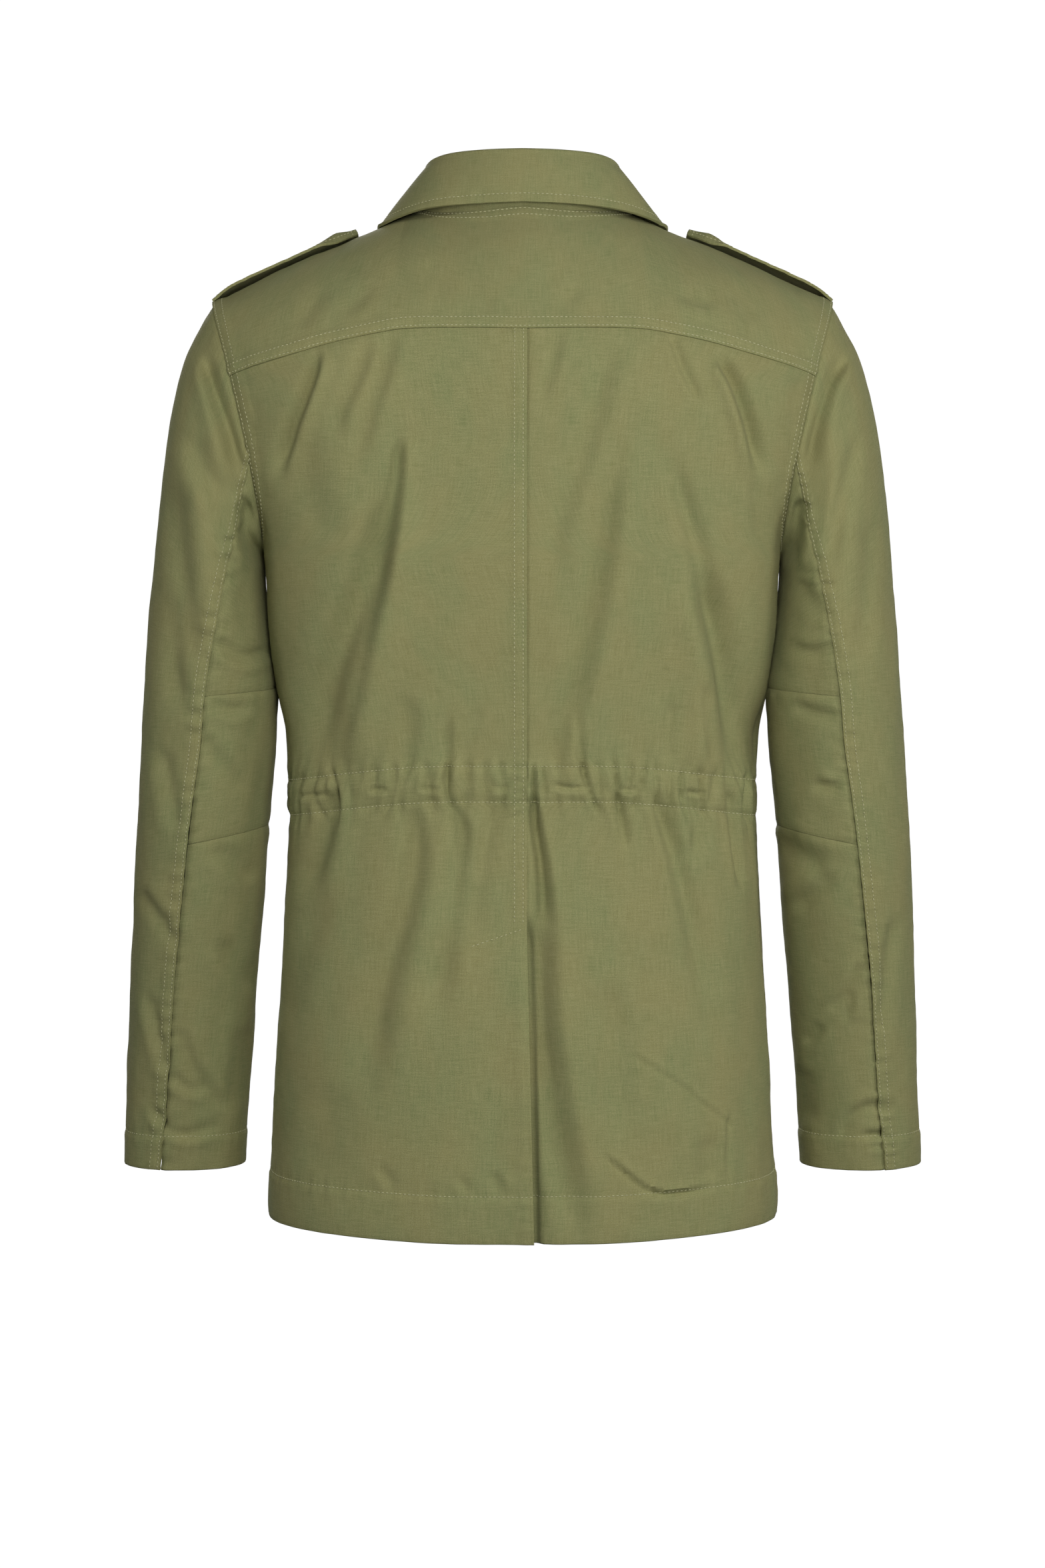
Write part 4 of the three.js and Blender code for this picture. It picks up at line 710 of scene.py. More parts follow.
def grid_mesh(name, points, outward, keep=None):
    """A sheet of quads through the points, facing outward, with its lengths as UV."""
    rows, columns = points.shape[:2]
    mesh_maker = bmesh.new()
    bmesh.ops.create_grid(mesh_maker, x_segments=columns - 1, y_segments=rows - 1, size=1)
    uv_layer = mesh_maker.loops.layers.uv.new("cloth")
    places = points.reshape(-1, 3) * MM
    uv = cloth_uv(points).reshape(-1, 2)
    mesh_maker.verts.ensure_lookup_table()
    for vertex, place in zip(mesh_maker.verts, places):
        vertex.co = place
    unwanted = []
    for face in mesh_maker.faces:
        corners = [vertex.index for vertex in face.verts]
        for loop in face.loops:
            loop[uv_layer].uv = uv[loop.vert.index]
        if keep is not None:
            row, column = divmod(min(corners), columns)
            if not keep[row, column]:
                unwanted.append(face)
    mesh_maker.normal_update()
    facing = outward.reshape(-1, 3)
    total = sum(face.normal.dot(Vector(facing[face.verts[0].index])) for face in mesh_maker.faces)
    if total < 0:
        bmesh.ops.reverse_faces(mesh_maker, faces=mesh_maker.faces[:])
    bmesh.ops.delete(mesh_maker, geom=unwanted, context="FACES")
    mesh = bpy.data.meshes.new(name)
    mesh_maker.to_mesh(mesh)
    mesh_maker.free()
    mesh.shade_smooth()
    return mesh


def add_object(name, mesh, material):
    piece = bpy.data.objects.new(name, mesh)
    bpy.context.collection.objects.link(piece)
    piece.data.materials.append(material)
    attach(piece, ROOT)
    return piece


def make_cloth(name, points, outward, thickness=CLOTH, keep=None, stitches=(), node=None):
    """A cloth piece with its thickness and rounded edges; it hides the part that it replaces."""
    node = node or name
    piece = add_object(name + "_cloth", grid_mesh(name, points, outward, keep), MATERIALS["twill"])
    wall = piece.modifiers.new("thickness", "SOLIDIFY")
    wall.thickness = thickness * MM
    wall.offset = -1
    edge = piece.modifiers.new("turned edge", "BEVEL")
    edge.width = EDGE_ROUND * MM
    edge.segments = 2
    edge.limit_method = "ANGLE"
    edge.angle_limit = math.radians(78)
    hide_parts(node)
    if stitches:
        sew(name + "_stitches", stitches)
    return piece


# Sewing
def inset_line(points, normals, edge, inset):
    """The line on a sheet that lies a given length in from one of its edges."""
    if edge in ("left", "right"):
        points = points.transpose(1, 0, 2)
        normals = normals.transpose(1, 0, 2)
    if edge in ("bottom", "right"):
        points = points[::-1]
        normals = normals[::-1]
    lengths = lengths_down(points)
    row = np.clip((lengths < inset).sum(0) - 1, 0, len(points) - 2)
    pick = np.arange(points.shape[1])
    start = lengths[row, pick]
    share = ((inset - start) / np.maximum(lengths[row + 1, pick] - start, 1e-6))[:, None]
    line = points[row, pick] * (1 - share) + points[row + 1, pick] * share
    facing = normals[row, pick] * (1 - share) + normals[row + 1, pick] * share
    return line, unit(facing)


def stitch_places(line, facing, pitch=STITCH["pitch"]):
    """Centres, directions and normals of the stitches along a line."""
    steps = np.linalg.norm(np.diff(line, axis=0), axis=-1)
    along = np.concatenate([[0], np.cumsum(steps)])
    count = max(1, int(along[-1] / pitch))
    centres = (np.arange(count) + 0.5) * along[-1] / count
    half = STITCH["half_length"]

    def at(values, where):
        return np.stack([np.interp(where, along, values[:, axis]) for axis in range(3)], -1)

    ahead = at(line, np.minimum(centres + half, along[-1]))
    behind = at(line, np.maximum(centres - half, 0))
    return (ahead + behind) / 2, unit(ahead - behind), unit(at(facing, centres))


def sew(name, lines):
    """Stitches of thread along each line, half sunk in the cloth."""
    thread = bmesh.new()
    for line, facing in lines:
        for centre, along, up in zip(*stitch_places(line, facing)):
            across = unit(np.cross(up, along))
            up = np.cross(along, across)
            frame_of_stitch = np.eye(4)
            frame_of_stitch[:3, 0] = along * STITCH["half_length"] * MM
            frame_of_stitch[:3, 1] = across * STITCH["half_width"] * MM
            frame_of_stitch[:3, 2] = up * STITCH["half_height"] * MM
            frame_of_stitch[:3, 3] = (centre + 0.1 * up) * MM
            bmesh.ops.create_icosphere(thread, subdivisions=1, radius=1, matrix=Matrix(frame_of_stitch))
    mesh = bpy.data.meshes.new(name)
    thread.to_mesh(mesh)
    thread.free()
    mesh.shade_smooth()
    piece = add_object(name, mesh, MATERIALS["thread"])
    return piece


# Back panels
def yoke_seam_z(x):
    return read_table(YOKE_SEAM, np.abs(x))[..., 1]


def yoke_seam_angle(share, shift=0.0):
    z = np.full(np.shape(share), float(YOKE_SEAM[0][1]))
    for _ in range(8):
        z = yoke_seam_z(share * armhole_x(z)) + shift
    return np.arcsin((z - CHEST_Z) / shoulder_rise(np.abs(share)))


def panel_heights():
    tunnel = [-395, -407.5, -409.2, -410.8, -433.6, -435.2, -436.8, -450]
    hem = [HEM_STITCH_Z + 3, HEM_STITCH_Z + 0.9, HEM_STITCH_Z - 0.9, HEM_STITCH_Z - 3, HEM_Z + 1.1]
    rows = [finer([CHEST_Z, tunnel[0]], 3.3)]
    for stops, pitch in ((tunnel, 1.5), ([tunnel[-1], VENT_Z], 3.3), ([VENT_Z, hem[0]], 3.3), (hem, 2.8)):
        rows.append(finer(stops, pitch)[1:])
    return np.concatenate(rows)


def hem_rise(distance, z):
    """The hem runs a little higher at the sides than at the centre."""
    return 3.6 * smoothstep(np.abs(distance), 40, 190) * smoothstep(-z, 600, 740)


def hem_lift(z, along, seed):
    """The hem: doubled cloth below its stitched row, drawn in along the row."""
    below = HEM_STITCH_Z - z
    double = 0.7 * smoothstep(below, -1, 2.5) * (1 - 0.6 * smoothstep(below, 26, 34))
    drawn = -0.4 * bell(below, 1.3)
    wrinkle = 0.2 * ripple(along, 11, seed) * bell(below, 9)
    return double + drawn + wrinkle


def waist_follow(heights):
    """How much of the waist's drop each height takes."""
    return np.interp(-heights, [-z for z, _ in FOLLOW], [share for _, share in FOLLOW])


# Creases, gathers, and the widths over which creases start below the top seam and cloth dips
BODY_RELIEF = {
    BACK: (BACK_CREASES, BACK_GATHERS, 7, 3.4),
    FRONT: (FRONT_CREASES, FRONT_GATHERS, 12, 4),
}


def body_relief(face, side, points, normals, around, rise, to_end, from_top, seed):
    """Relief that back and front panels share, in millimetres outward."""
    creases, gathers, top_fade, top_dip = BODY_RELIEF[face]
    x = points[..., 0]
    height = points[..., 2]
    from_middle = 1
    if face == FRONT:
        from_middle = smoothstep(np.abs(x), PLACKET_HALF + 2, PLACKET_HALF + 24)
    fade = smoothstep(to_end, 0, 14) * smoothstep(from_top, 0, top_fade) * from_middle
    lift = fade * (crease_lift(x, height, creases) + cloth_sway(side * around, height, seed))
    gathered = tunnel_lift(around, x, height, gathers, seed + 3) * smoothstep(to_end, 0, 8)
    lift += gathered * (0.3 + 0.7 * from_middle)
    lift += hem_lift(height - rise, around, seed + 6)
    in_armhole = smoothstep(height, ARMHOLE["bottom_z"] - 6, ARMHOLE["bottom_z"] + 6)
    lift += in_armhole * felled(to_end, height, seed + 7) - 0.5 * (1 - in_armhole) * bell(to_end, 2.2)
    return lift + tucked(from_top, 1.0, top_dip) + side_ease(normals, height)


def body_stitches(face, outer, facing, height, x=None):
    """Stitched rows of the tunnel, the hem and the armhole. In front they stop at the placket."""
    lines = []
    for row_z in (WAIST_Z + TUNNEL_TOP, WAIST_Z + TUNNEL_BOTTOM, HEM_STITCH_Z):
        row = int(np.argmin(np.abs(height[:, 0] - row_z)))
        clear = np.abs(x[row]) > PLACKET_HALF if face == FRONT else slice(None)
        lines.append((outer[row][clear], facing[row][clear]))
    armhole_rows = height[:, -1] > ARMHOLE["bottom_z"]
    for inset in TOPSTITCH:
        lines.append(inset_line(outer[armhole_rows], facing[armhole_rows], "right", inset))
    return lines


def back_panel(side, name):
    waist_length = float(section_length(BACK, WAIST_Z))
    start_at_waist = side * CENTRE_SEAM_X
    shares, offsets = seam_columns(waist_length - start_at_waist, 1.9, near=STITCHED_EDGE, far=SEAM_STOPS)
    if side < 0:
        under = -finer([UNDERLAP, 4.5, 0], 3.0)[:-1]
        shares = np.concatenate([np.zeros(len(under)), shares])
        offsets = np.concatenate([under, offsets])

    def distance_at(z):
        vent_share = np.clip((VENT_Z - z) / (VENT_Z - HEM_Z), 0, 1)
        centre = CENTRE_SEAM_X + (VENT_HEM_X - CENTRE_SEAM_X) * vent_share * (side > 0)
        start = side * centre
        return start + shares * (section_length(BACK, z) - start) + offsets, start

    # Above the chest line
    chest_distance, _ = distance_at(CHEST_Z)
    share = lower_point(BACK, chest_distance, CHEST_Z)[:, 0] / armhole_x(CHEST_Z)
    seam = yoke_seam_angle(share)
    rises = finer([1.075, 1.0, 0.0], 0.045)[:-1]
    upper = upper_point(side * share[None], seam[None] * rises[:, None])

    # Below it
    heights = panel_heights()
    at_waist = np.clip(start_at_waist + shares * (waist_length - start_at_waist) + offsets, 0, None)
    z = heights[:, None] - waist_follow(heights)[:, None] * waist_drop(at_waist)[None]
    distance, start = distance_at(z)
    rise = hem_rise(distance, z)
    lower = lower_point(BACK, side * distance, z + rise)
    rise = np.concatenate([0 * upper[..., 0], rise])

    points = np.concatenate([upper, lower])
    normals = torso_normal(points)
    upper_distance = np.broadcast_to(chest_distance, upper.shape[:2])
    around = np.concatenate([upper_distance, distance])
    from_start = np.concatenate([upper_distance - side * CENTRE_SEAM_X, distance - start])
    to_end = np.concatenate([(1 - np.abs(share[None])) * ARMHOLE["top_x"] + 0 * upper[..., 0],
                             section_length(BACK, z) - distance])
    to_yoke = np.concatenate([(1 - rises)[:, None] * 70 + 0 * upper[..., 0], 70 + 0 * z])
    seed = 10 if side > 0 else 40
    x = points[..., 0]
    height = points[..., 2]
    lift = body_relief(BACK, side, points, normals, around, rise, to_end, to_yoke, seed)
    if side > 0:
        lift += felled(from_start, height, seed + 8, CENTRE_TOPSTITCH, proud=0.6, pucker=0.2)
        lift += 2.4 * smoothstep(VENT_Z - height, 4, 60) * (1 - smoothstep(from_start, 0, 30))
        held = bell(height + 474, 34)
        lift += 0.55 * held * ripple(height + 0.5 * from_start, 9, seed + 9) * bell(from_start - 8, 10)
    else:
        vent = smoothstep(VENT_Z + 14 - height, 0, 26)
        overlap = (CENTRE_SEAM_X - VENT_HEM_X) * np.clip((VENT_Z - height) / (VENT_Z - HEM_Z), 0, 1)
        past_edge = from_start - overlap
        lift += tucked(from_start, 0.8, 2.2) - 3.0 * vent * (1 - smoothstep(past_edge, 0, 22))
        lift -= 6.0 * vent * (1 - smoothstep(past_edge, 1.5, 6.5))
    outer = points + normals * lift[..., None]

    keep = None
    if side < 0:
        cell_heights = height[:-1, :-1]
        keep = (offsets[:-1][None] > -4.6) | (cell_heights <= VENT_Z + 4) | (shares[:-1][None] > 0)

    facing = surface_normals(outer, normals)
    first = int(np.argmin(np.abs(offsets) + shares))
    body = outer[2:, first:]
    body_facing = facing[2:, first:]
    body_heights = height[2:, first:]
    lines = body_stitches(BACK, body, body_facing, body_heights)
    if side > 0:
        above_vent = body_heights[:, 0] > VENT_Z
        for inset in CENTRE_TOPSTITCH:
            lines.append(inset_line(body[above_vent], body_facing[above_vent], "left", inset))
        lines.append(vent_stitch(outer, facing, x, height))

    hemmed, wide_facing = turn_up(outer, facing, HEM_STITCH_Z - HEM_Z)
    if keep is not None:
        keep = np.concatenate([keep, np.ones((len(hemmed) - len(outer), keep.shape[1]), bool)])
    make_cloth(name, hemmed, wide_facing, keep=keep, stitches=lines)


def vent_stitch(outer, facing, x, height):
    """The slanting row that holds the top of the vent's facing."""
    places = np.linspace(0, 1, 14)[:, None] * np.array([[37.0, -12.6]]) + np.array([[0.4, -527.0]])
    line = []
    normals = []
    for place_x, place_z in places:
        index = np.unravel_index(np.argmin((x - place_x) ** 2 + (height - place_z) ** 2), x.shape)
        point = outer[index].copy()
        point[0] = place_x
        point[2] = place_z
        line.append(point)
        normals.append(facing[index])
    return np.array(line), np.array(normals)


# Yoke
SEAM_NECK_ANGLE = math.acos(FORWARD_SEAM_Y / NECK[FRONT])
YOKE_NECK_SHARE = 0.42
YOKE_END_SHARE = 0.9995
YOKE_HALF = 226


def neckline_place(angle, grow=0.0):
    cosine = np.cos(angle)
    depth = np.where(cosine >= 0, NECK[BACK], NECK[FRONT])
    return upper_place((NECK["side"] + grow) * np.sin(angle), (depth + grow) * cosine)


def yoke():
    neck = finer([0, YOKE_NECK_SHARE], 0.0135)
    ends = [1 - inset / YOKE_HALF for inset in reversed(SEAM_STOPS)] + [YOKE_END_SHARE]
    outer_shares = np.concatenate([finer([YOKE_NECK_SHARE, ends[0]], 0.0135)[1:], ends[1:]])
    half = np.concatenate([neck, outer_shares])
    shares = np.concatenate([-half[:0:-1], half])
    size = np.abs(shares)
    side = np.sign(shares)
    corner_share, _ = neckline_place(SEAM_NECK_ANGLE)
    neck_share, neck_angle = neckline_place(np.minimum(size / YOKE_NECK_SHARE, 1) * SEAM_NECK_ANGLE)
    along = np.clip((size - YOKE_NECK_SHARE) / (1 - YOKE_NECK_SHARE), 0, 1)
    seam_share = corner_share + (YOKE_END_SHARE - corner_share) * along
    seam_angle = np.arccos(FORWARD_SEAM_Y / chest_depth(FRONT, seam_share))
    at_neck = size <= YOKE_NECK_SHARE
    top_share = np.where(at_neck, neck_share, seam_share)
    top_angle = np.where(at_neck, neck_angle, seam_angle)
    bottom_angle = yoke_seam_angle(size, -0.9)

    downs = np.concatenate([[0, 0.008, 0.016, 0.026, 0.044, 0.062, 0.08, 0.1], finer([0.12, 0.9], 0.026),
                            [0.915, 0.93, 0.942, 0.953, 0.966, 0.978, 0.986, 0.993, 1.0]])[:, None]
    angle = top_angle + (bottom_angle - top_angle) * downs
    share = side * (top_share + (size - top_share) * downs)
    points = upper_point(share, angle)
    normals = torso_normal(points)
    from_top = lengths_down(points)
    to_bottom = from_top[-1] - from_top
    to_end = (1 - np.abs(share)) * ARMHOLE["top_x"]
    x = points[..., 0]
    sway = cloth_sway(x, points[..., 1] - points[..., 2], 70)
    creased = sway + crease_lift(x, points[..., 2], YOKE_CREASES)
    lift = creased * smoothstep(to_end, 0, 14) * smoothstep(to_bottom, 0, 9)
    lift += felled(to_bottom, x, 71, proud=0.8, pucker=0.12, period=14)
    lift += felled(to_end, points[..., 2] - points[..., 1], 72, pucker=0.3)
    lift += felled(from_top, x, 73, proud=0.6, pucker=0.15)
    outer = points + normals * lift[..., None]
    facing = surface_normals(outer, normals)
    lines = [inset_line(outer, facing, "bottom", inset) for inset in TOPSTITCH]
    lines += [inset_line(outer, facing, "top", inset) for inset in TOPSTITCH]
    for edge in ("left", "right"):
        lines += [inset_line(outer, facing, edge, inset) for inset in TOPSTITCH]
    make_cloth("yoke", outer, normals, stitches=lines)


# Fronts
FRONT_NECK_PLACES = [0, 17, 36, 45, 54, 62, 71, 80]
FRONT_NECK_TURN = math.radians(11.2)


def front_panel(side, name):
    past = FRONT_PAST[side]
    waist_length = float(section_length(FRONT, WAIST_Z))
    stops = finer([-past, -past + 1, 0, FRONT_NECK_PLACES[-1], waist_length - SEAM_STOPS[-1]], 3.6)
    places = np.concatenate([stops, waist_length - np.array([*SEAM_STOPS[-2::-1], 0])])
    shares = (places + past) / (waist_length + past)
    turns = [math.pi + math.asin(past / NECK["side"])]
    turns += [SEAM_NECK_ANGLE + step * FRONT_NECK_TURN for step in range(len(FRONT_NECK_PLACES) - 1, -1, -1)]
    neck_angle = np.interp(places, [-past, *FRONT_NECK_PLACES], turns)
    neck_share, neck_turn = neckline_place(neck_angle)
    corner = (FRONT_NECK_PLACES[-1] + past) / (waist_length + past)
    corner_share, _ = neckline_place(SEAM_NECK_ANGLE)
    along = np.clip((shares - corner) / (1 - corner), 0, 1)
    seam_share = corner_share + (YOKE_END_SHARE - corner_share) * along
    seam_turn = np.arccos(FORWARD_SEAM_Y / chest_depth(FRONT, seam_share))
    at_neck = places <= FRONT_NECK_PLACES[-1]
    top_share = np.where(at_neck, neck_share, seam_share)
    top_turn = np.where(at_neck, neck_turn, seam_turn)

    def distance_at(z):
        return -past + shares * (section_length(FRONT, z) + past)

    chest = lower_point(FRONT, distance_at(CHEST_Z), CHEST_Z)[:, 0] / armhole_x(CHEST_Z)
    downs = finer([0, 0.97], 0.028)[:, None]
    share = top_share + (chest - top_share) * downs
    upper = upper_point(side * share, top_turn + (np.pi - top_turn) * downs)
    heights = panel_heights()
    z = heights[:, None] - waist_follow(heights)[:, None] * waist_drop(places)[None]
    distance = distance_at(z)
    rise = hem_rise(distance, z)
    lower = lower_point(FRONT, side * distance, z + rise)
    rise = np.concatenate([0 * upper[..., 0], rise])
    points = np.concatenate([upper, lower])
    normals = torso_normal(points)
    around = np.concatenate([distance_at(CHEST_Z)[None] + 0 * share, distance])
    to_end = np.concatenate([(1 - np.abs(share)) * ARMHOLE["top_x"], section_length(FRONT, z) - distance])
    x = points[..., 0]
    height = points[..., 2]
    seed = 100 if side > 0 else 130
    from_top = lengths_down(points)
    lift = body_relief(FRONT, side, points, normals, around, rise, to_end, from_top, seed)
    if side < 0:
        lift -= 2.4 * (1 - smoothstep(-x, 20, 45))
    outer = points + normals * lift[..., None]
    facing = surface_normals(outer, normals)
    lines = body_stitches(FRONT, outer, facing, height, points[..., 0])
    hemmed, wide_facing = turn_up(outer, facing, HEM_STITCH_Z - HEM_Z)
    make_cloth(name, hemmed, wide_facing, stitches=lines)


def placket_surface(x, z, lift):
    point = stack(x, torso_y(FRONT, x, z), z)
    normal = torso_normal(point)
    return point + normal * lift[..., None], normal


PLACKET_LIFT = 2.3


def placket():
    edge = np.array([13.2, 14.6, 15.6, PLACKET_HALF])
    across = np.concatenate([-edge[::-1], finer([-11, 11], 2.8), edge])
    heights = finer([PLACKET_TOP_Z, -410, -436, HEM_Z], 3.2)
    x, z = np.meshgrid(across, heights)
    height = z - WAIST_Z
    lift = PLACKET_LIFT + 0.35 * bell(height, 16) + 0.12 * ripple(z, 30, 160)
    lift += 0.25 * ripple(z, 9, 161) * bell(height, 18)
    outer, normals = placket_surface(x, z, lift)
    facing = surface_normals(outer, normals)
    lines = [inset_line(outer, facing, edge, 5.0) for edge in ("left", "right")]
    for number in range(BUTTON["count"]):
        middle = BUTTON["first_z"] - BUTTON["pitch"] * number
        for offset in (-1.1, 1.1):
            places = np.linspace(middle - 9.5, middle + 9.5, 9)
            line, line_normals = placket_surface(np.full(9, offset), places, np.full(9, PLACKET_LIFT + 0.2))
            lines.append((line, line_normals))
    make_cloth("front_placket", outer, normals, thickness=1.6, stitches=lines)


# Collar
def neck_point(angle):
    share, turn = neckline_place(np.abs(angle))
    return upper_point(np.where(angle < 0, -1, 1) * share, turn)


def stand_base(angle):
    point = neck_point(angle)
    tangent = neck_point(angle + 0.01) - neck_point(angle - 0.01)
    inward = unit(np.cross(torso_normal(point), tangent))
    radial = point * np.array([1.0, 1.0, 0.0])
    inward = inward * -np.sign((inward * radial).sum(-1, keepdims=True))
    return point + inward * COLLAR["gap"]


def crest_point(angle, crest_z):
    cosine = np.cos(angle)
    depth = np.where(cosine >= 0, CREST[BACK], CREST[FRONT])
    return stack(CREST["side"] * np.sin(angle), depth * cosine, crest_z)


def outward_at(angle, step=0.01):
    tangent = crest_point(angle + step, 0) - crest_point(angle - step, 0)
    return unit(stack(-tangent[..., 1], tangent[..., 0], 0))


COLLAR_END = SEAM_NECK_ANGLE + FRONT_NECK_TURN * 6


def collar_angles(count):
    return np.linspace(-COLLAR_END, COLLAR_END, count)


def collar_stand():
    angle = collar_angles(131)
    row = read_table(COLLAR_ROWS, np.degrees(np.abs(angle)))
    outward = outward_at(angle)
    base = stand_base(angle)
    top = crest_point(angle, row[..., 1] - COLLAR["rise"] - 0.4) + outward * 1.7
    ups = np.linspace(0, 1, 11)[:, None, None]
    points = base * (1 - ups) + top * ups
    normals = np.broadcast_to(outward, points.shape)
    lift = 0.15 * ripple(angle * 70, 12, 170) * (1 - ups[..., 0])
    outer = points + normals * lift[..., None]
    facing = surface_normals(outer, normals)
    lines = [inset_line(outer, facing, "bottom", inset) for inset in (1.3, 5.2)]
    make_cloth("collar_stand", outer, normals, thickness=1.5, stitches=lines)


def collar_leaf():
    angle = collar_angles(141)
    row = read_table(COLLAR_ROWS, np.degrees(np.abs(angle)))
    _, crest_z, edge_turn, out, edge_z = np.moveaxis(row, -1, 0)
    edge_turn = np.radians(edge_turn) * np.sign(angle)
    outward = outward_at(angle)
    up = np.array([0.0, 0.0, 1.0])
    strips = []
    normals = []
    start = crest_point(angle, crest_z - COLLAR["rise"])
    roll_centre = crest_point(angle, crest_z - COLLAR["roll"]) + outward * COLLAR["roll"]
    inner_top = roll_centre - outward * COLLAR["roll"]
    for share in (0, 0.5):
        strips.append(start + (inner_top - start) * share)
        normals.append(-outward)
    for turn in (180, 155, 130, 105, 80, 55, 28, 0):
        direction = outward * math.cos(math.radians(turn)) + up * math.sin(math.radians(turn))
        strips.append(roll_centre + direction * COLLAR["roll"])
        normals.append(direction)
    roll_end = strips[-1]
    cosine = np.cos(edge_turn)
    depth = np.where(cosine >= 0, NECK[BACK], NECK[FRONT])
    edge = stack((NECK["side"] + out) * np.sin(edge_turn), (depth + out) * cosine, edge_z)
    fall = unit(edge - roll_end)
    facing = unit(outward - fall * (outward * fall).sum(-1, keepdims=True))
    length = np.linalg.norm(edge - roll_end, axis=-1)
    shares = np.concatenate([finer([0.045, 0.8], 0.05), [0.83, 0.86, 0.885, 0.91, 0.935, 0.96, 0.98, 1.0]])
    for share in shares:
        point = roll_end * (1 - share) + edge * share + facing * 3 * share * (1 - share)
        point = stand_clear(point, COLLAR["clearance"])
        inset = length * (1 - share)
        lift = 0.45 * waves(angle * 90, share * 40, 46, 180) * smoothstep(share, 0, 0.3)
        lift = lift - 0.35 * bell(inset - 6.3, 1.2) + 0.18 * ripple(angle * 90, 10, 181) * bell(inset - 6, 5)
        strips.append(point + facing * lift[..., None])
        normals.append(facing)
    points = np.array(strips)
    normals = np.array(normals)
    outward_normals = surface_normals(points, normals)
    lines = [inset_line(points, outward_normals, "bottom", 6.3)]
    for edge_name in ("left", "right"):
        lines.append(inset_line(points[12:], outward_normals[12:], edge_name, 6.0))
    make_cloth("collar_leaf", points, normals, thickness=LEAF, stitches=lines)


# Sleeves
def sleeve_surface(side, ring_number, angle):
    """Point and outward direction on a sleeve, for a ring number and an angle in degrees."""
    ring = read_table(SLEEVE_RINGS, ring_number)
    out_x, out_z, in_x, in_z, depth, y, hollow = (ring[..., i] for i in range(1, 8))
    turn = np.radians(angle)
    half_x = (out_x - in_x) / 2
    half_z = (out_z - in_z) / 2
    x = (out_x + in_x) / 2 + half_x * np.cos(turn) + 0.4 - hollow * np.sin(turn) ** 2
    z = (out_z + in_z) / 2 + half_z * np.cos(turn)
    size = half_x**2 + half_z**2
    normal = unit(stack(half_x * np.cos(turn) / size, np.sin(turn) / depth, half_z * np.cos(turn) / size))
    mirror = np.array([side, 1.0, 1.0])
    return stack(x, y + depth * np.sin(turn), z) * mirror, normal * mirror


def ring_arcs(rings):
    """For each ring, lengths round it at every degree from the front seam back over the top."""
    degrees = np.arange(-180.0, 400.0, 1.0)
    point, _ = sleeve_surface(1, rings[None] + 0 * degrees[:, None], degrees[:, None] + 0 * rings)
    return degrees, lengths_down(point).T


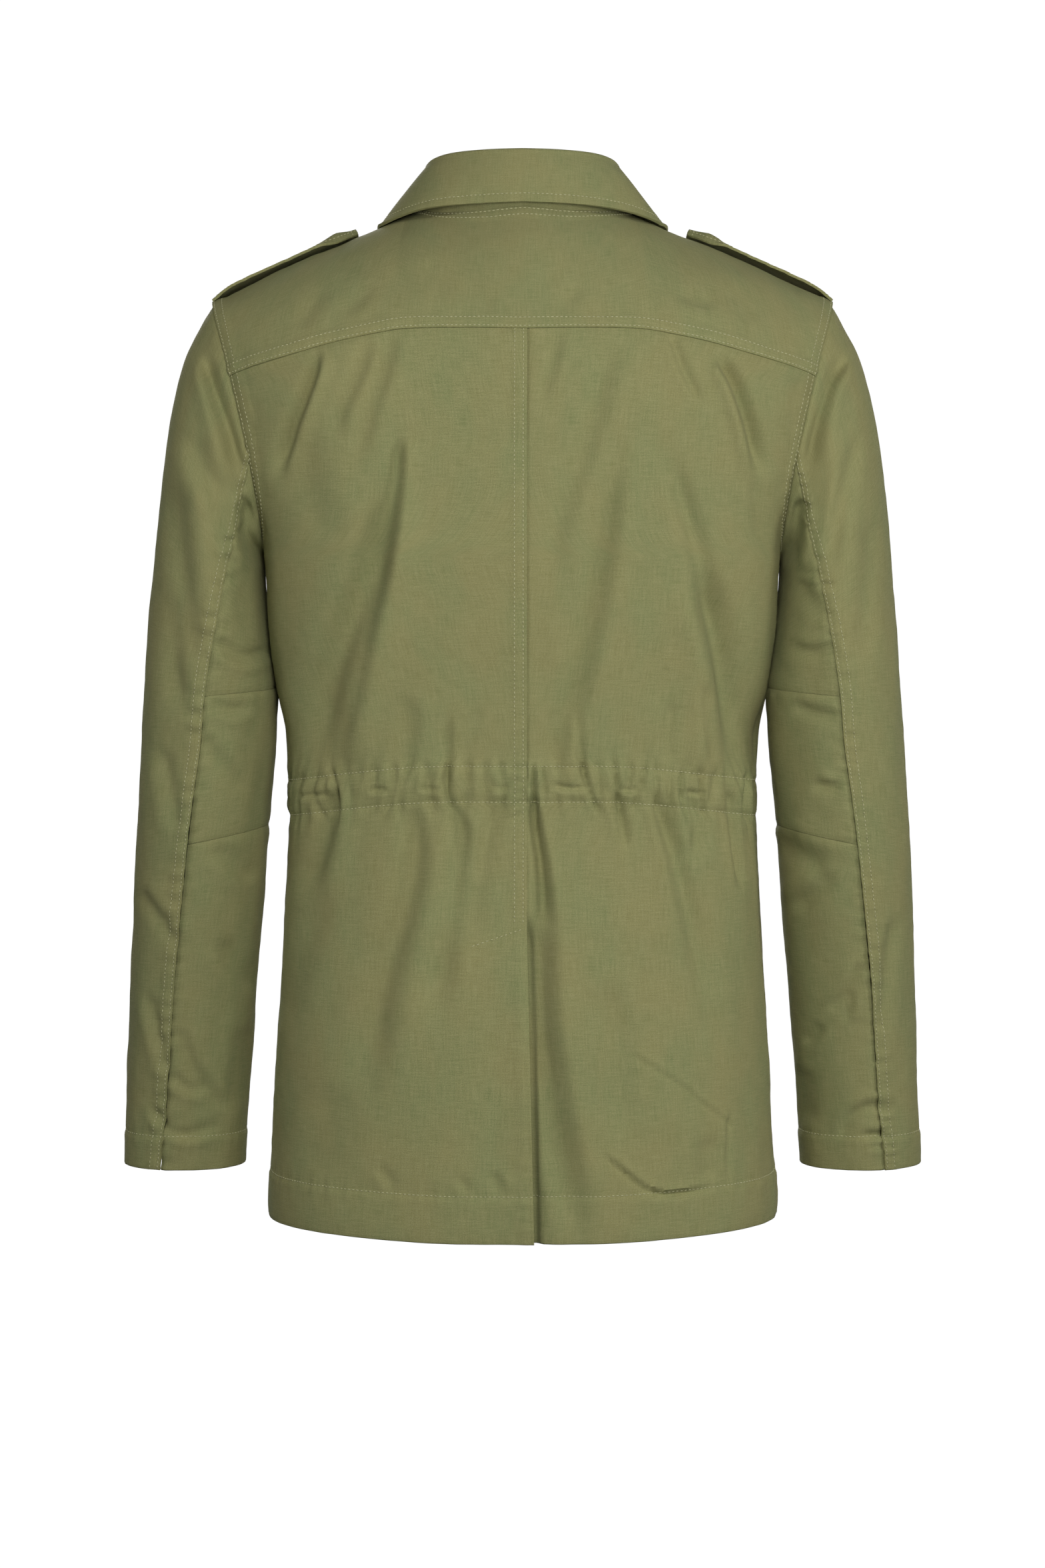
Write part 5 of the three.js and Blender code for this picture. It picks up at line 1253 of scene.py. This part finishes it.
def sleeve_panel(side, name, ring_from, ring_to, under):
    rings = finer([ring_from, ring_to], 0.085)
    if under:
        rings = np.unique(np.concatenate([rings, [ring_from + 0.03, ring_to - 0.03]]))
    table = read_table(SLEEVE_RINGS, rings)
    degrees, arcs = ring_arcs(rings)
    back_seam, front_seam = table[:, 8], table[:, 9]
    start_angle, end_angle = (back_seam, front_seam) if under else (front_seam - 360, back_seam)
    middle = len(rings) // 2
    start = np.array([np.interp(a, degrees, arc) for a, arc in zip(start_angle, arcs)])
    end = np.array([np.interp(a, degrees, arc) for a, arc in zip(end_angle, arcs)])
    width = float((end - start)[middle])
    if under:
        shares, offsets = seam_columns(width, 3.1, near=(0.9, 2.0, 3.6, 5.4), far=(1.0, 2.2, 4.0))
    else:
        shares, offsets = seam_columns(width, 3.1, near=(1.0, 2.2, 4.0), far=STITCHED_EDGE)
    place = start[:, None] + shares[None] * (end - start)[:, None] + offsets[None]
    angle = np.array([np.interp(row, arc, degrees) for row, arc in zip(place, arcs)])
    ring = rings[:, None] + 0 * angle
    points, normals = sleeve_surface(side, ring, angle)
    from_start = place - start[:, None]
    to_end = end[:, None] - place

    x = side * points[..., 0]
    z = points[..., 2]
    behind = smoothstep(normals[..., 1], 0.0, 0.35)
    ahead = smoothstep(-normals[..., 1], 0.0, 0.35)
    seed = (200 if side > 0 else 230) + (10 if under else 0)
    lower_creases = 0 if side > 0 else 4
    lift = behind * crease_lift(x, z, SLEEVE_BACK_CREASES[side])
    lift += ahead * crease_lift(x, z - lower_creases, SLEEVE_FRONT_CREASES)
    lift += cloth_sway(angle * 1.1, z, seed)
    near_top = smoothstep(ring, 0.1, 1.3)
    lift *= near_top
    outside = bell(normals[..., 1], 0.4) * smoothstep(normals[..., 0] * side, -0.2, 0.2)
    lift -= 0.8 * outside * near_top
    pressed = smoothstep(-z, 235, 262) * smoothstep(z, -390, -355)
    lift += 2.6 * pressed * smoothstep(-normals[..., 0] * side, 0.5, 0.9)
    cuff = read_table(SLEEVE_RINGS, CUFF_RING)[2]
    below = cuff - z
    lift += 0.65 * smoothstep(below, -1, 2.5) - 0.35 * bell(below, 1.3)
    lift += 0.2 * ripple(angle, 10, seed + 4) * bell(below, 8)
    top_pucker = bell(z + 195, 60)
    if under:
        lift += tucked(from_start, 1.5, 4.5)
        lift += 0.8 * (0.5 + 0.5 * top_pucker) * ripple(z, 10, seed + 5) * bell(from_start, 11)
        lift -= 0.5 * bell(to_end, 2.0)
    else:
        lift += felled(to_end, z, seed + 6, proud=0.7, pucker=0.6, period=9)
        lift += 0.8 * (0.4 + 0.6 * top_pucker) * ripple(z, 12, seed + 7) * bell(to_end, 12)
        lift -= 0.5 * bell(from_start, 2.0)
    if ring_from == 0:
        lift -= 0.8 * (1 - smoothstep(ring, 0.0, 0.16))
        lift += (0.3 + 0.3 * ripple(angle * 1.2, 13, seed + 8)) * bell(ring - 0.5, 0.35)
        lift -= 3.4 * outside * bell(ring - 0.2, 0.55)
    for elbow in ELBOW_RINGS:
        if under:
            from_seam = (ring - elbow) * RING_PITCH
            lift -= 0.75 * bell(from_seam, 2.2)
            lift += (0.3 + 0.3 * ripple(angle * 1.1, 12, seed + 9 + elbow)) * bell(from_seam - 6, 4)
    outer = points + normals * lift[..., None]
    if ring_from == 0:
        tuck = outer[:1] + np.array([-3.5 * side, 0, 0]) - normals[:1] * 0.6
        outer = np.concatenate([tuck, outer])
        normals = np.concatenate([normals[:1], normals])
        z = np.concatenate([z[:1], z])
    facing = surface_normals(outer, normals)
    lines = []
    if not under:
        for inset in TOPSTITCH:
            lines.append(inset_line(outer, facing, "right", inset))
    cuff_rows = np.argmin(np.abs(z[:, 0] - cuff))
    wide_facing = facing
    if ring_to == LAST_RING:
        lines.append((outer[cuff_rows], facing[cuff_rows]))
        outer, wide_facing = turn_up(outer, facing, CUFF_TURN)
    make_cloth(name, outer, wide_facing, stitches=lines)


# Epaulettes and buttons
def epaulette_surface(side, x, share):
    """Point and outward direction on a strap, at a place along the shoulder and a share across."""
    row = read_table(EPAULETTE_ROWS, -np.asarray(x, float))
    across = row[:, 1:2] * np.asarray(share, float)[None] - EPAULETTE["forward"]
    stops = np.column_stack([EPAULETTE_STOPS, row[:, 2:].T])
    lift = read_table(stops, share)[:, 1:].T
    place, _ = upper_place(x, 0 * x)
    place = place[:, None] + 0 * across
    point = upper_point(side * place, np.pi / 2 - across / chest_depth(BACK, place))
    normal = torso_normal(point)
    return point + normal * lift[..., None], normal


def epaulette(side, name):
    along = finer([230, 229, 228, 226, 224, 217, 190, 157, 148, 140, 135, 128, 123, 121.5], 2.4)
    rim = np.array([0.75, 0.83, 0.91, 0.97, 1])
    shares = np.concatenate([-rim[::-1], np.linspace(-0.66, 0.66, 17), rim])
    points, normals = epaulette_surface(side, along, shares)
    x = along[:, None] + 0 * shares
    half = read_table(EPAULETTE_ROWS, -along)[:, 1]
    inset = np.minimum(half[:, None] * (1 - np.abs(shares)), x - 121.5)
    lift = 0.1 * ripple(x + 20 * shares, 11, 300 + side) - 0.3 * bell(inset - 5, 1.2)
    points = points + normals * lift[..., None]
    facing = surface_normals(points, normals)
    lines = [inset_line(points, facing, edge, 4.8) for edge in ("left", "right", "bottom")]
    make_cloth(name, points, normals, thickness=EPAULETTE["thick"], stitches=lines)


def make_button(name, seat, normal, radius, thick):
    """A moulded button with a raised rim, turned like its real mould, and four thread holes."""
    turned = bmesh.new()
    profile = [
        (0, 0), (0.72, 0), (0.9, 0.1), (0.985, 0.32), (1, 0.5), (0.985, 0.72), (0.94, 0.92),
        (0.87, 1), (0.8, 0.95), (0.74, 0.8), (0.66, 0.7), (0.4, 0.66), (0, 0.64),
    ]
    line = [turned.verts.new((r * radius * MM, 0, h * thick * MM)) for r, h in profile]
    edges = [turned.edges.new(pair) for pair in zip(line, line[1:])]
    bmesh.ops.spin(turned, geom=line + edges, cent=(0, 0, 0), axis=(0, 0, 1), angle=2 * math.pi,
                   steps=48, use_merge=True)
    bmesh.ops.remove_doubles(turned, verts=turned.verts[:], dist=1e-6)
    bmesh.ops.recalc_face_normals(turned, faces=turned.faces[:])
    gap = 0.2 * radius
    hole = 0.085 * radius
    for hole_x in (-gap, gap):
        for hole_y in (-gap, gap):
            place = Matrix.Translation((hole_x * MM, hole_y * MM, 0.62 * thick * MM))
            bmesh.ops.create_cone(turned, cap_ends=True, segments=14, radius1=hole * MM,
                                  radius2=hole * 0.9 * MM, depth=0.22 * thick * MM, matrix=place)
    thread_start = len(turned.faces)
    for hole_x in (-gap, gap):
        bar = Matrix.Translation((hole_x * MM, 0, 0.72 * thick * MM)) @ Matrix.Diagonal(
            (0.07 * radius * MM, 1.25 * gap * MM, 0.09 * thick * MM, 1))
        bmesh.ops.create_icosphere(turned, subdivisions=2, radius=1, matrix=bar)
    turned.faces.ensure_lookup_table()
    for face in turned.faces[thread_start:]:
        face.material_index = 1
    turn = Vector((0, 0, 1)).rotation_difference(Vector(normal)).to_matrix().to_4x4()
    bmesh.ops.transform(turned, matrix=Matrix.Translation(Vector(seat) * MM) @ turn, verts=turned.verts[:])
    mesh = bpy.data.meshes.new(name)
    turned.to_mesh(mesh)
    turned.free()
    mesh.shade_smooth()
    mesh.set_sharp_from_angle(angle=math.radians(50))
    piece = add_object(name + "_moulded", mesh, MATERIALS["button"])
    piece.data.materials.append(MATERIALS["thread"])
    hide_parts(name)


def buttons():
    for number in range(BUTTON["count"]):
        z = np.array([float(BUTTON["first_z"] - BUTTON["pitch"] * number)])
        seat, normal = placket_surface(np.zeros(1), z, np.array([PLACKET_LIFT + 0.6]))
        make_button(f"front_button_{number + 1}", seat[0], normal[0], BUTTON["radius"], BUTTON["thick"])
    for side, side_name in ((1, "left"), (-1, "right")):
        ends = EPAULETTE["button_x"] + EPAULETTE["button_reach"] * np.array([1.0, -1.0])
        corners, _ = epaulette_surface(side, ends, EPAULETTE_STOPS[1:3])
        normal = unit(np.cross(corners[0, 0] - corners[1, 0], corners[0, 1] - corners[0, 0]))
        normal = normal * np.sign(normal[2])
        seat = corners.reshape(-1, 3).mean(0) + normal * 0.4
        make_button(f"epaulette_button_{side_name}", seat, normal, BUTTON["small"], BUTTON["small_thick"])


# Materials
def srgb(code):
    """Linear colour of an sRGB hex value."""
    parts = [int(code[i:i + 2], 16) / 255 for i in (1, 3, 5)]
    return (*[p / 12.92 if p <= 0.04045 else ((p + 0.055) / 1.055) ** 2.4 for p in parts], 1.0)


def add_node(tree, kind, inputs=None, **settings):
    """Adds a node with its settings. An input is a value, or another node's output to link."""
    node = tree.nodes.new(kind)
    for name, value in settings.items():
        setattr(node, name, value)
    for socket, value in (inputs or {}).items():
        if isinstance(value, bpy.types.NodeSocket):
            tree.links.new(value, node.inputs[socket])
        else:
            node.inputs[socket].default_value = value
    return node


def new_material(name):
    material = bpy.data.materials.new(name)
    material.use_nodes = True
    material.node_tree.nodes.clear()
    return material, material.node_tree


def finish_material(tree, shader):
    add_node(tree, "ShaderNodeOutputMaterial", {"Surface": shader.outputs[0]})


def mix_colours(tree, factor, first, second):
    return add_node(tree, "ShaderNodeMix", {0: factor, 6: first, 7: second}, data_type="RGBA").outputs[2]


THREAD_MM = 0.9  # real yarns are about 0.4 mm apart, drawn coarser so that they show


def cotton_twill(name, green, brown, pale):
    """Washed two-tone cotton twill: a matt, slightly fuzzy surface with uneven yarns. The
    dye has faded in soft patches, so the eye sees green and brown in turn."""
    material, tree = new_material(name)
    where = add_node(tree, "ShaderNodeUVMap", uv_map="cloth").outputs[0]
    millimetres = add_node(tree, "ShaderNodeMapping", {
        "Vector": where, "Scale": (1000, 1000, 1000)}).outputs[0]

    def noise(scale, detail, roughness=0.5):
        placed = add_node(tree, "ShaderNodeMapping", {"Vector": millimetres, "Scale": scale})
        return add_node(tree, "ShaderNodeTexNoise", {
            "Vector": placed.outputs[0], "Scale": 1.0, "Detail": detail, "Roughness": roughness}).outputs[0]

    def ramp(value, low, high, start=0.0, end=1.0):
        return add_node(tree, "ShaderNodeMapRange", {
            "Value": value, "From Min": low, "From Max": high, "To Min": start, "To Max": end},
            clamp=True).outputs[0]

    patches = ramp(noise((1 / 42, 1 / 75, 1), 2), 0.36, 0.64)
    streaks = ramp(noise((1 / 9, 1 / 60, 1), 3), 0.3, 0.7)
    weft = noise((1 / 14, 1 / THREAD_MM, 1), 2, 0.6)
    warp = noise((1 / THREAD_MM, 1 / 18, 1), 2, 0.6)
    grain = noise((1 / 0.8, 1 / 0.8, 1), 1)
    tone = mix_colours(tree, patches, srgb(green), srgb(brown))
    streaky = add_node(tree, "ShaderNodeMath", {0: streaks, 1: 0.35}, operation="MULTIPLY").outputs[0]
    tone = mix_colours(tree, streaky, tone, srgb(brown))
    yarn = add_node(tree, "ShaderNodeMath", {0: weft, 1: warp}, operation="ADD").outputs[0]
    tone = mix_colours(tree, ramp(yarn, 0.72, 1.28, 0.0, 0.55), tone, srgb(pale))
    specks = ramp(grain, 0.3, 0.7, 0.86, 1.1)
    shade = add_node(tree, "ShaderNodeVectorMath", {0: tone, 3: specks}, operation="SCALE")

    twill_turn = add_node(tree, "ShaderNodeMapping", {
        "Vector": millimetres, "Rotation": (0, 0, math.radians(58))})
    twill = add_node(tree, "ShaderNodeTexWave", {
        "Vector": twill_turn.outputs[0], "Scale": 1 / THREAD_MM / 2, "Distortion": 1.2, "Detail": 1.0,
        "Detail Scale": 0.6}, wave_type="BANDS").outputs[1]
    weave_height = add_node(tree, "ShaderNodeMath", {0: twill, 1: yarn}, operation="ADD").outputs[0]
    bump = add_node(tree, "ShaderNodeBump", {"Strength": 0.55, "Distance": 0.00016, "Height": weave_height})
    shader = add_node(tree, "ShaderNodeBsdfPrincipled", {
        "Base Color": shade.outputs[0], "Roughness": 0.88, "IOR": 1.46, "Specular IOR Level": 0.22,
        "Sheen Weight": 0.18, "Sheen Roughness": 0.55, "Sheen Tint": srgb("#a9a982"),
        "Normal": bump.outputs[0]})
    finish_material(tree, shader)
    return material


def sewing_thread():
    """Polyester-cotton thread: a little paler and smoother than the cloth."""
    material, tree = new_material("sewing_thread")
    where = add_node(tree, "ShaderNodeTexCoord").outputs["Object"]
    tint = add_node(tree, "ShaderNodeTexNoise", {"Vector": where, "Scale": 90.0, "Detail": 1.0}).outputs[0]
    colour = mix_colours(tree, tint, srgb("#9c9a72"), srgb("#b7b58b"))
    shader = add_node(tree, "ShaderNodeBsdfPrincipled", {
        "Base Color": colour, "Roughness": 0.6, "IOR": 1.5, "Sheen Weight": 0.1})
    finish_material(tree, shader)
    return material


def moulded_button():
    """Polyester button moulded with faint clouds in it, satin with a soft highlight."""
    material, tree = new_material("moulded_button")
    where = add_node(tree, "ShaderNodeTexCoord").outputs["Object"]
    clouds = add_node(tree, "ShaderNodeTexNoise", {
        "Vector": where, "Scale": 160.0, "Detail": 3.0, "Distortion": 1.4}).outputs[0]
    colour = mix_colours(tree, clouds, srgb("#2c2417"), srgb("#5b4a31"))
    scratches = add_node(tree, "ShaderNodeBump", {"Strength": 0.15, "Distance": 0.0001, "Height": clouds})
    shader = add_node(tree, "ShaderNodeBsdfPrincipled", {
        "Base Color": colour, "Roughness": 0.34, "IOR": 1.54, "Normal": scratches.outputs[0]})
    finish_material(tree, shader)
    return material


def paper_white():
    """White studio paper, bright enough to burn out to white."""
    material, tree = new_material("studio_paper")
    shader = add_node(tree, "ShaderNodeBsdfPrincipled", {
        "Base Color": (0.2, 0.2, 0.2, 1), "Roughness": 0.9, "Specular IOR Level": 0.1,
        "Emission Color": (1, 1, 1, 1), "Emission Strength": 1.0})
    finish_material(tree, shader)
    return material


# Studio
CAMERA = {"place": (0.0, 3.0, -0.248), "down": 3.443, "lens": 91.84}


def studio():
    """A lit sheet of paper well behind the jacket, which leaves the cloth's shading alone."""
    paper = bmesh.new()
    upright = Matrix.Translation((0, -6.0, -0.4)) @ Matrix.Rotation(math.radians(90), 4, "X")
    bmesh.ops.create_grid(paper, x_segments=1, y_segments=1, size=4.5, matrix=upright)
    mesh = bpy.data.meshes.new("studio_paper")
    paper.to_mesh(mesh)
    paper.free()
    sheet = bpy.data.objects.new("studio_paper", mesh)
    bpy.context.collection.objects.link(sheet)
    sheet.data.materials.append(paper_white())

    world = bpy.data.worlds.new("studio")
    bpy.context.scene.world = world
    world.use_nodes = True
    background = world.node_tree.nodes["Background"].inputs
    background["Color"].default_value = (0.96, 0.98, 1, 1)
    background["Strength"].default_value = 0.06


def area_light(name, place, target_z, size, energy):
    light = bpy.data.lights.new(name, "AREA")
    light.shape = "DISK"
    light.size = size
    light.energy = energy
    lamp = bpy.data.objects.new(name, light)
    bpy.context.collection.objects.link(lamp)
    lamp.location = place
    lamp.rotation_euler = (Vector((0, 0, target_z)) - Vector(place)).to_track_quat("-Z", "Y").to_euler()


def camera():
    data = bpy.data.cameras.new("camera")
    data.sensor_fit = "VERTICAL"
    data.sensor_width = 36
    data.sensor_height = 36
    data.lens = CAMERA["lens"]
    holder = bpy.data.objects.new("camera", data)
    bpy.context.collection.objects.link(holder)
    holder.location = CAMERA["place"]
    tilt = math.radians(CAMERA["down"])
    look = Vector((0, -math.cos(tilt), -math.sin(tilt)))
    holder.rotation_euler = look.to_track_quat("-Z", "Y").to_euler()
    bpy.context.scene.camera = holder


MATERIALS = {
    "twill": cotton_twill("cotton_twill", "#767c51", "#817e52", "#979468"),
    "thread": sewing_thread(),
    "button": moulded_button(),
}

# Lights in metres and watts: name, place, height of the point that it faces, size and power
LIGHTS = [
    ("high_key", (0.0, 2.6, 1.4), -0.3, 0.8, 26),
    ("centre_key", (-0.25, 1.5, -0.15), -0.3, 0.6, 9),
    ("right_key", (-1.7, 2.6, -0.1), -0.3, 0.9, 14),
    ("left_key", (1.7, 2.6, -0.1), -0.3, 0.9, 8),
    ("right_side", (-2.6, 1.0, 0.0), -0.2, 1.0, 21),
    ("left_side", (2.6, 1.0, 0.0), -0.2, 1.0, 10),
    ("front", (0.5, -3.0, 0.9), -0.35, 1.4, 60),
]

camera()
studio()
for light_row in LIGHTS:
    area_light(*light_row)

yoke()
collar_stand()
collar_leaf()
placket()
for panel_side, panel_name in ((1, "left"), (-1, "right")):
    back_panel(panel_side, "back_" + panel_name)
    front_panel(panel_side, "front_" + panel_name)
    sleeve_panel(panel_side, "sleeve_upper_" + panel_name, 0, LAST_RING, under=False)
    sleeve_panel(panel_side, "sleeve_under_top_" + panel_name, 0, ELBOW_RINGS[0], under=True)
    sleeve_panel(panel_side, "sleeve_elbow_" + panel_name, *ELBOW_RINGS, under=True)
    sleeve_panel(panel_side, "sleeve_under_low_" + panel_name, ELBOW_RINGS[1], LAST_RING, under=True)
    epaulette(panel_side, "epaulette_" + panel_name)
buttons()

bpy.context.scene.view_settings.view_transform = "Standard"
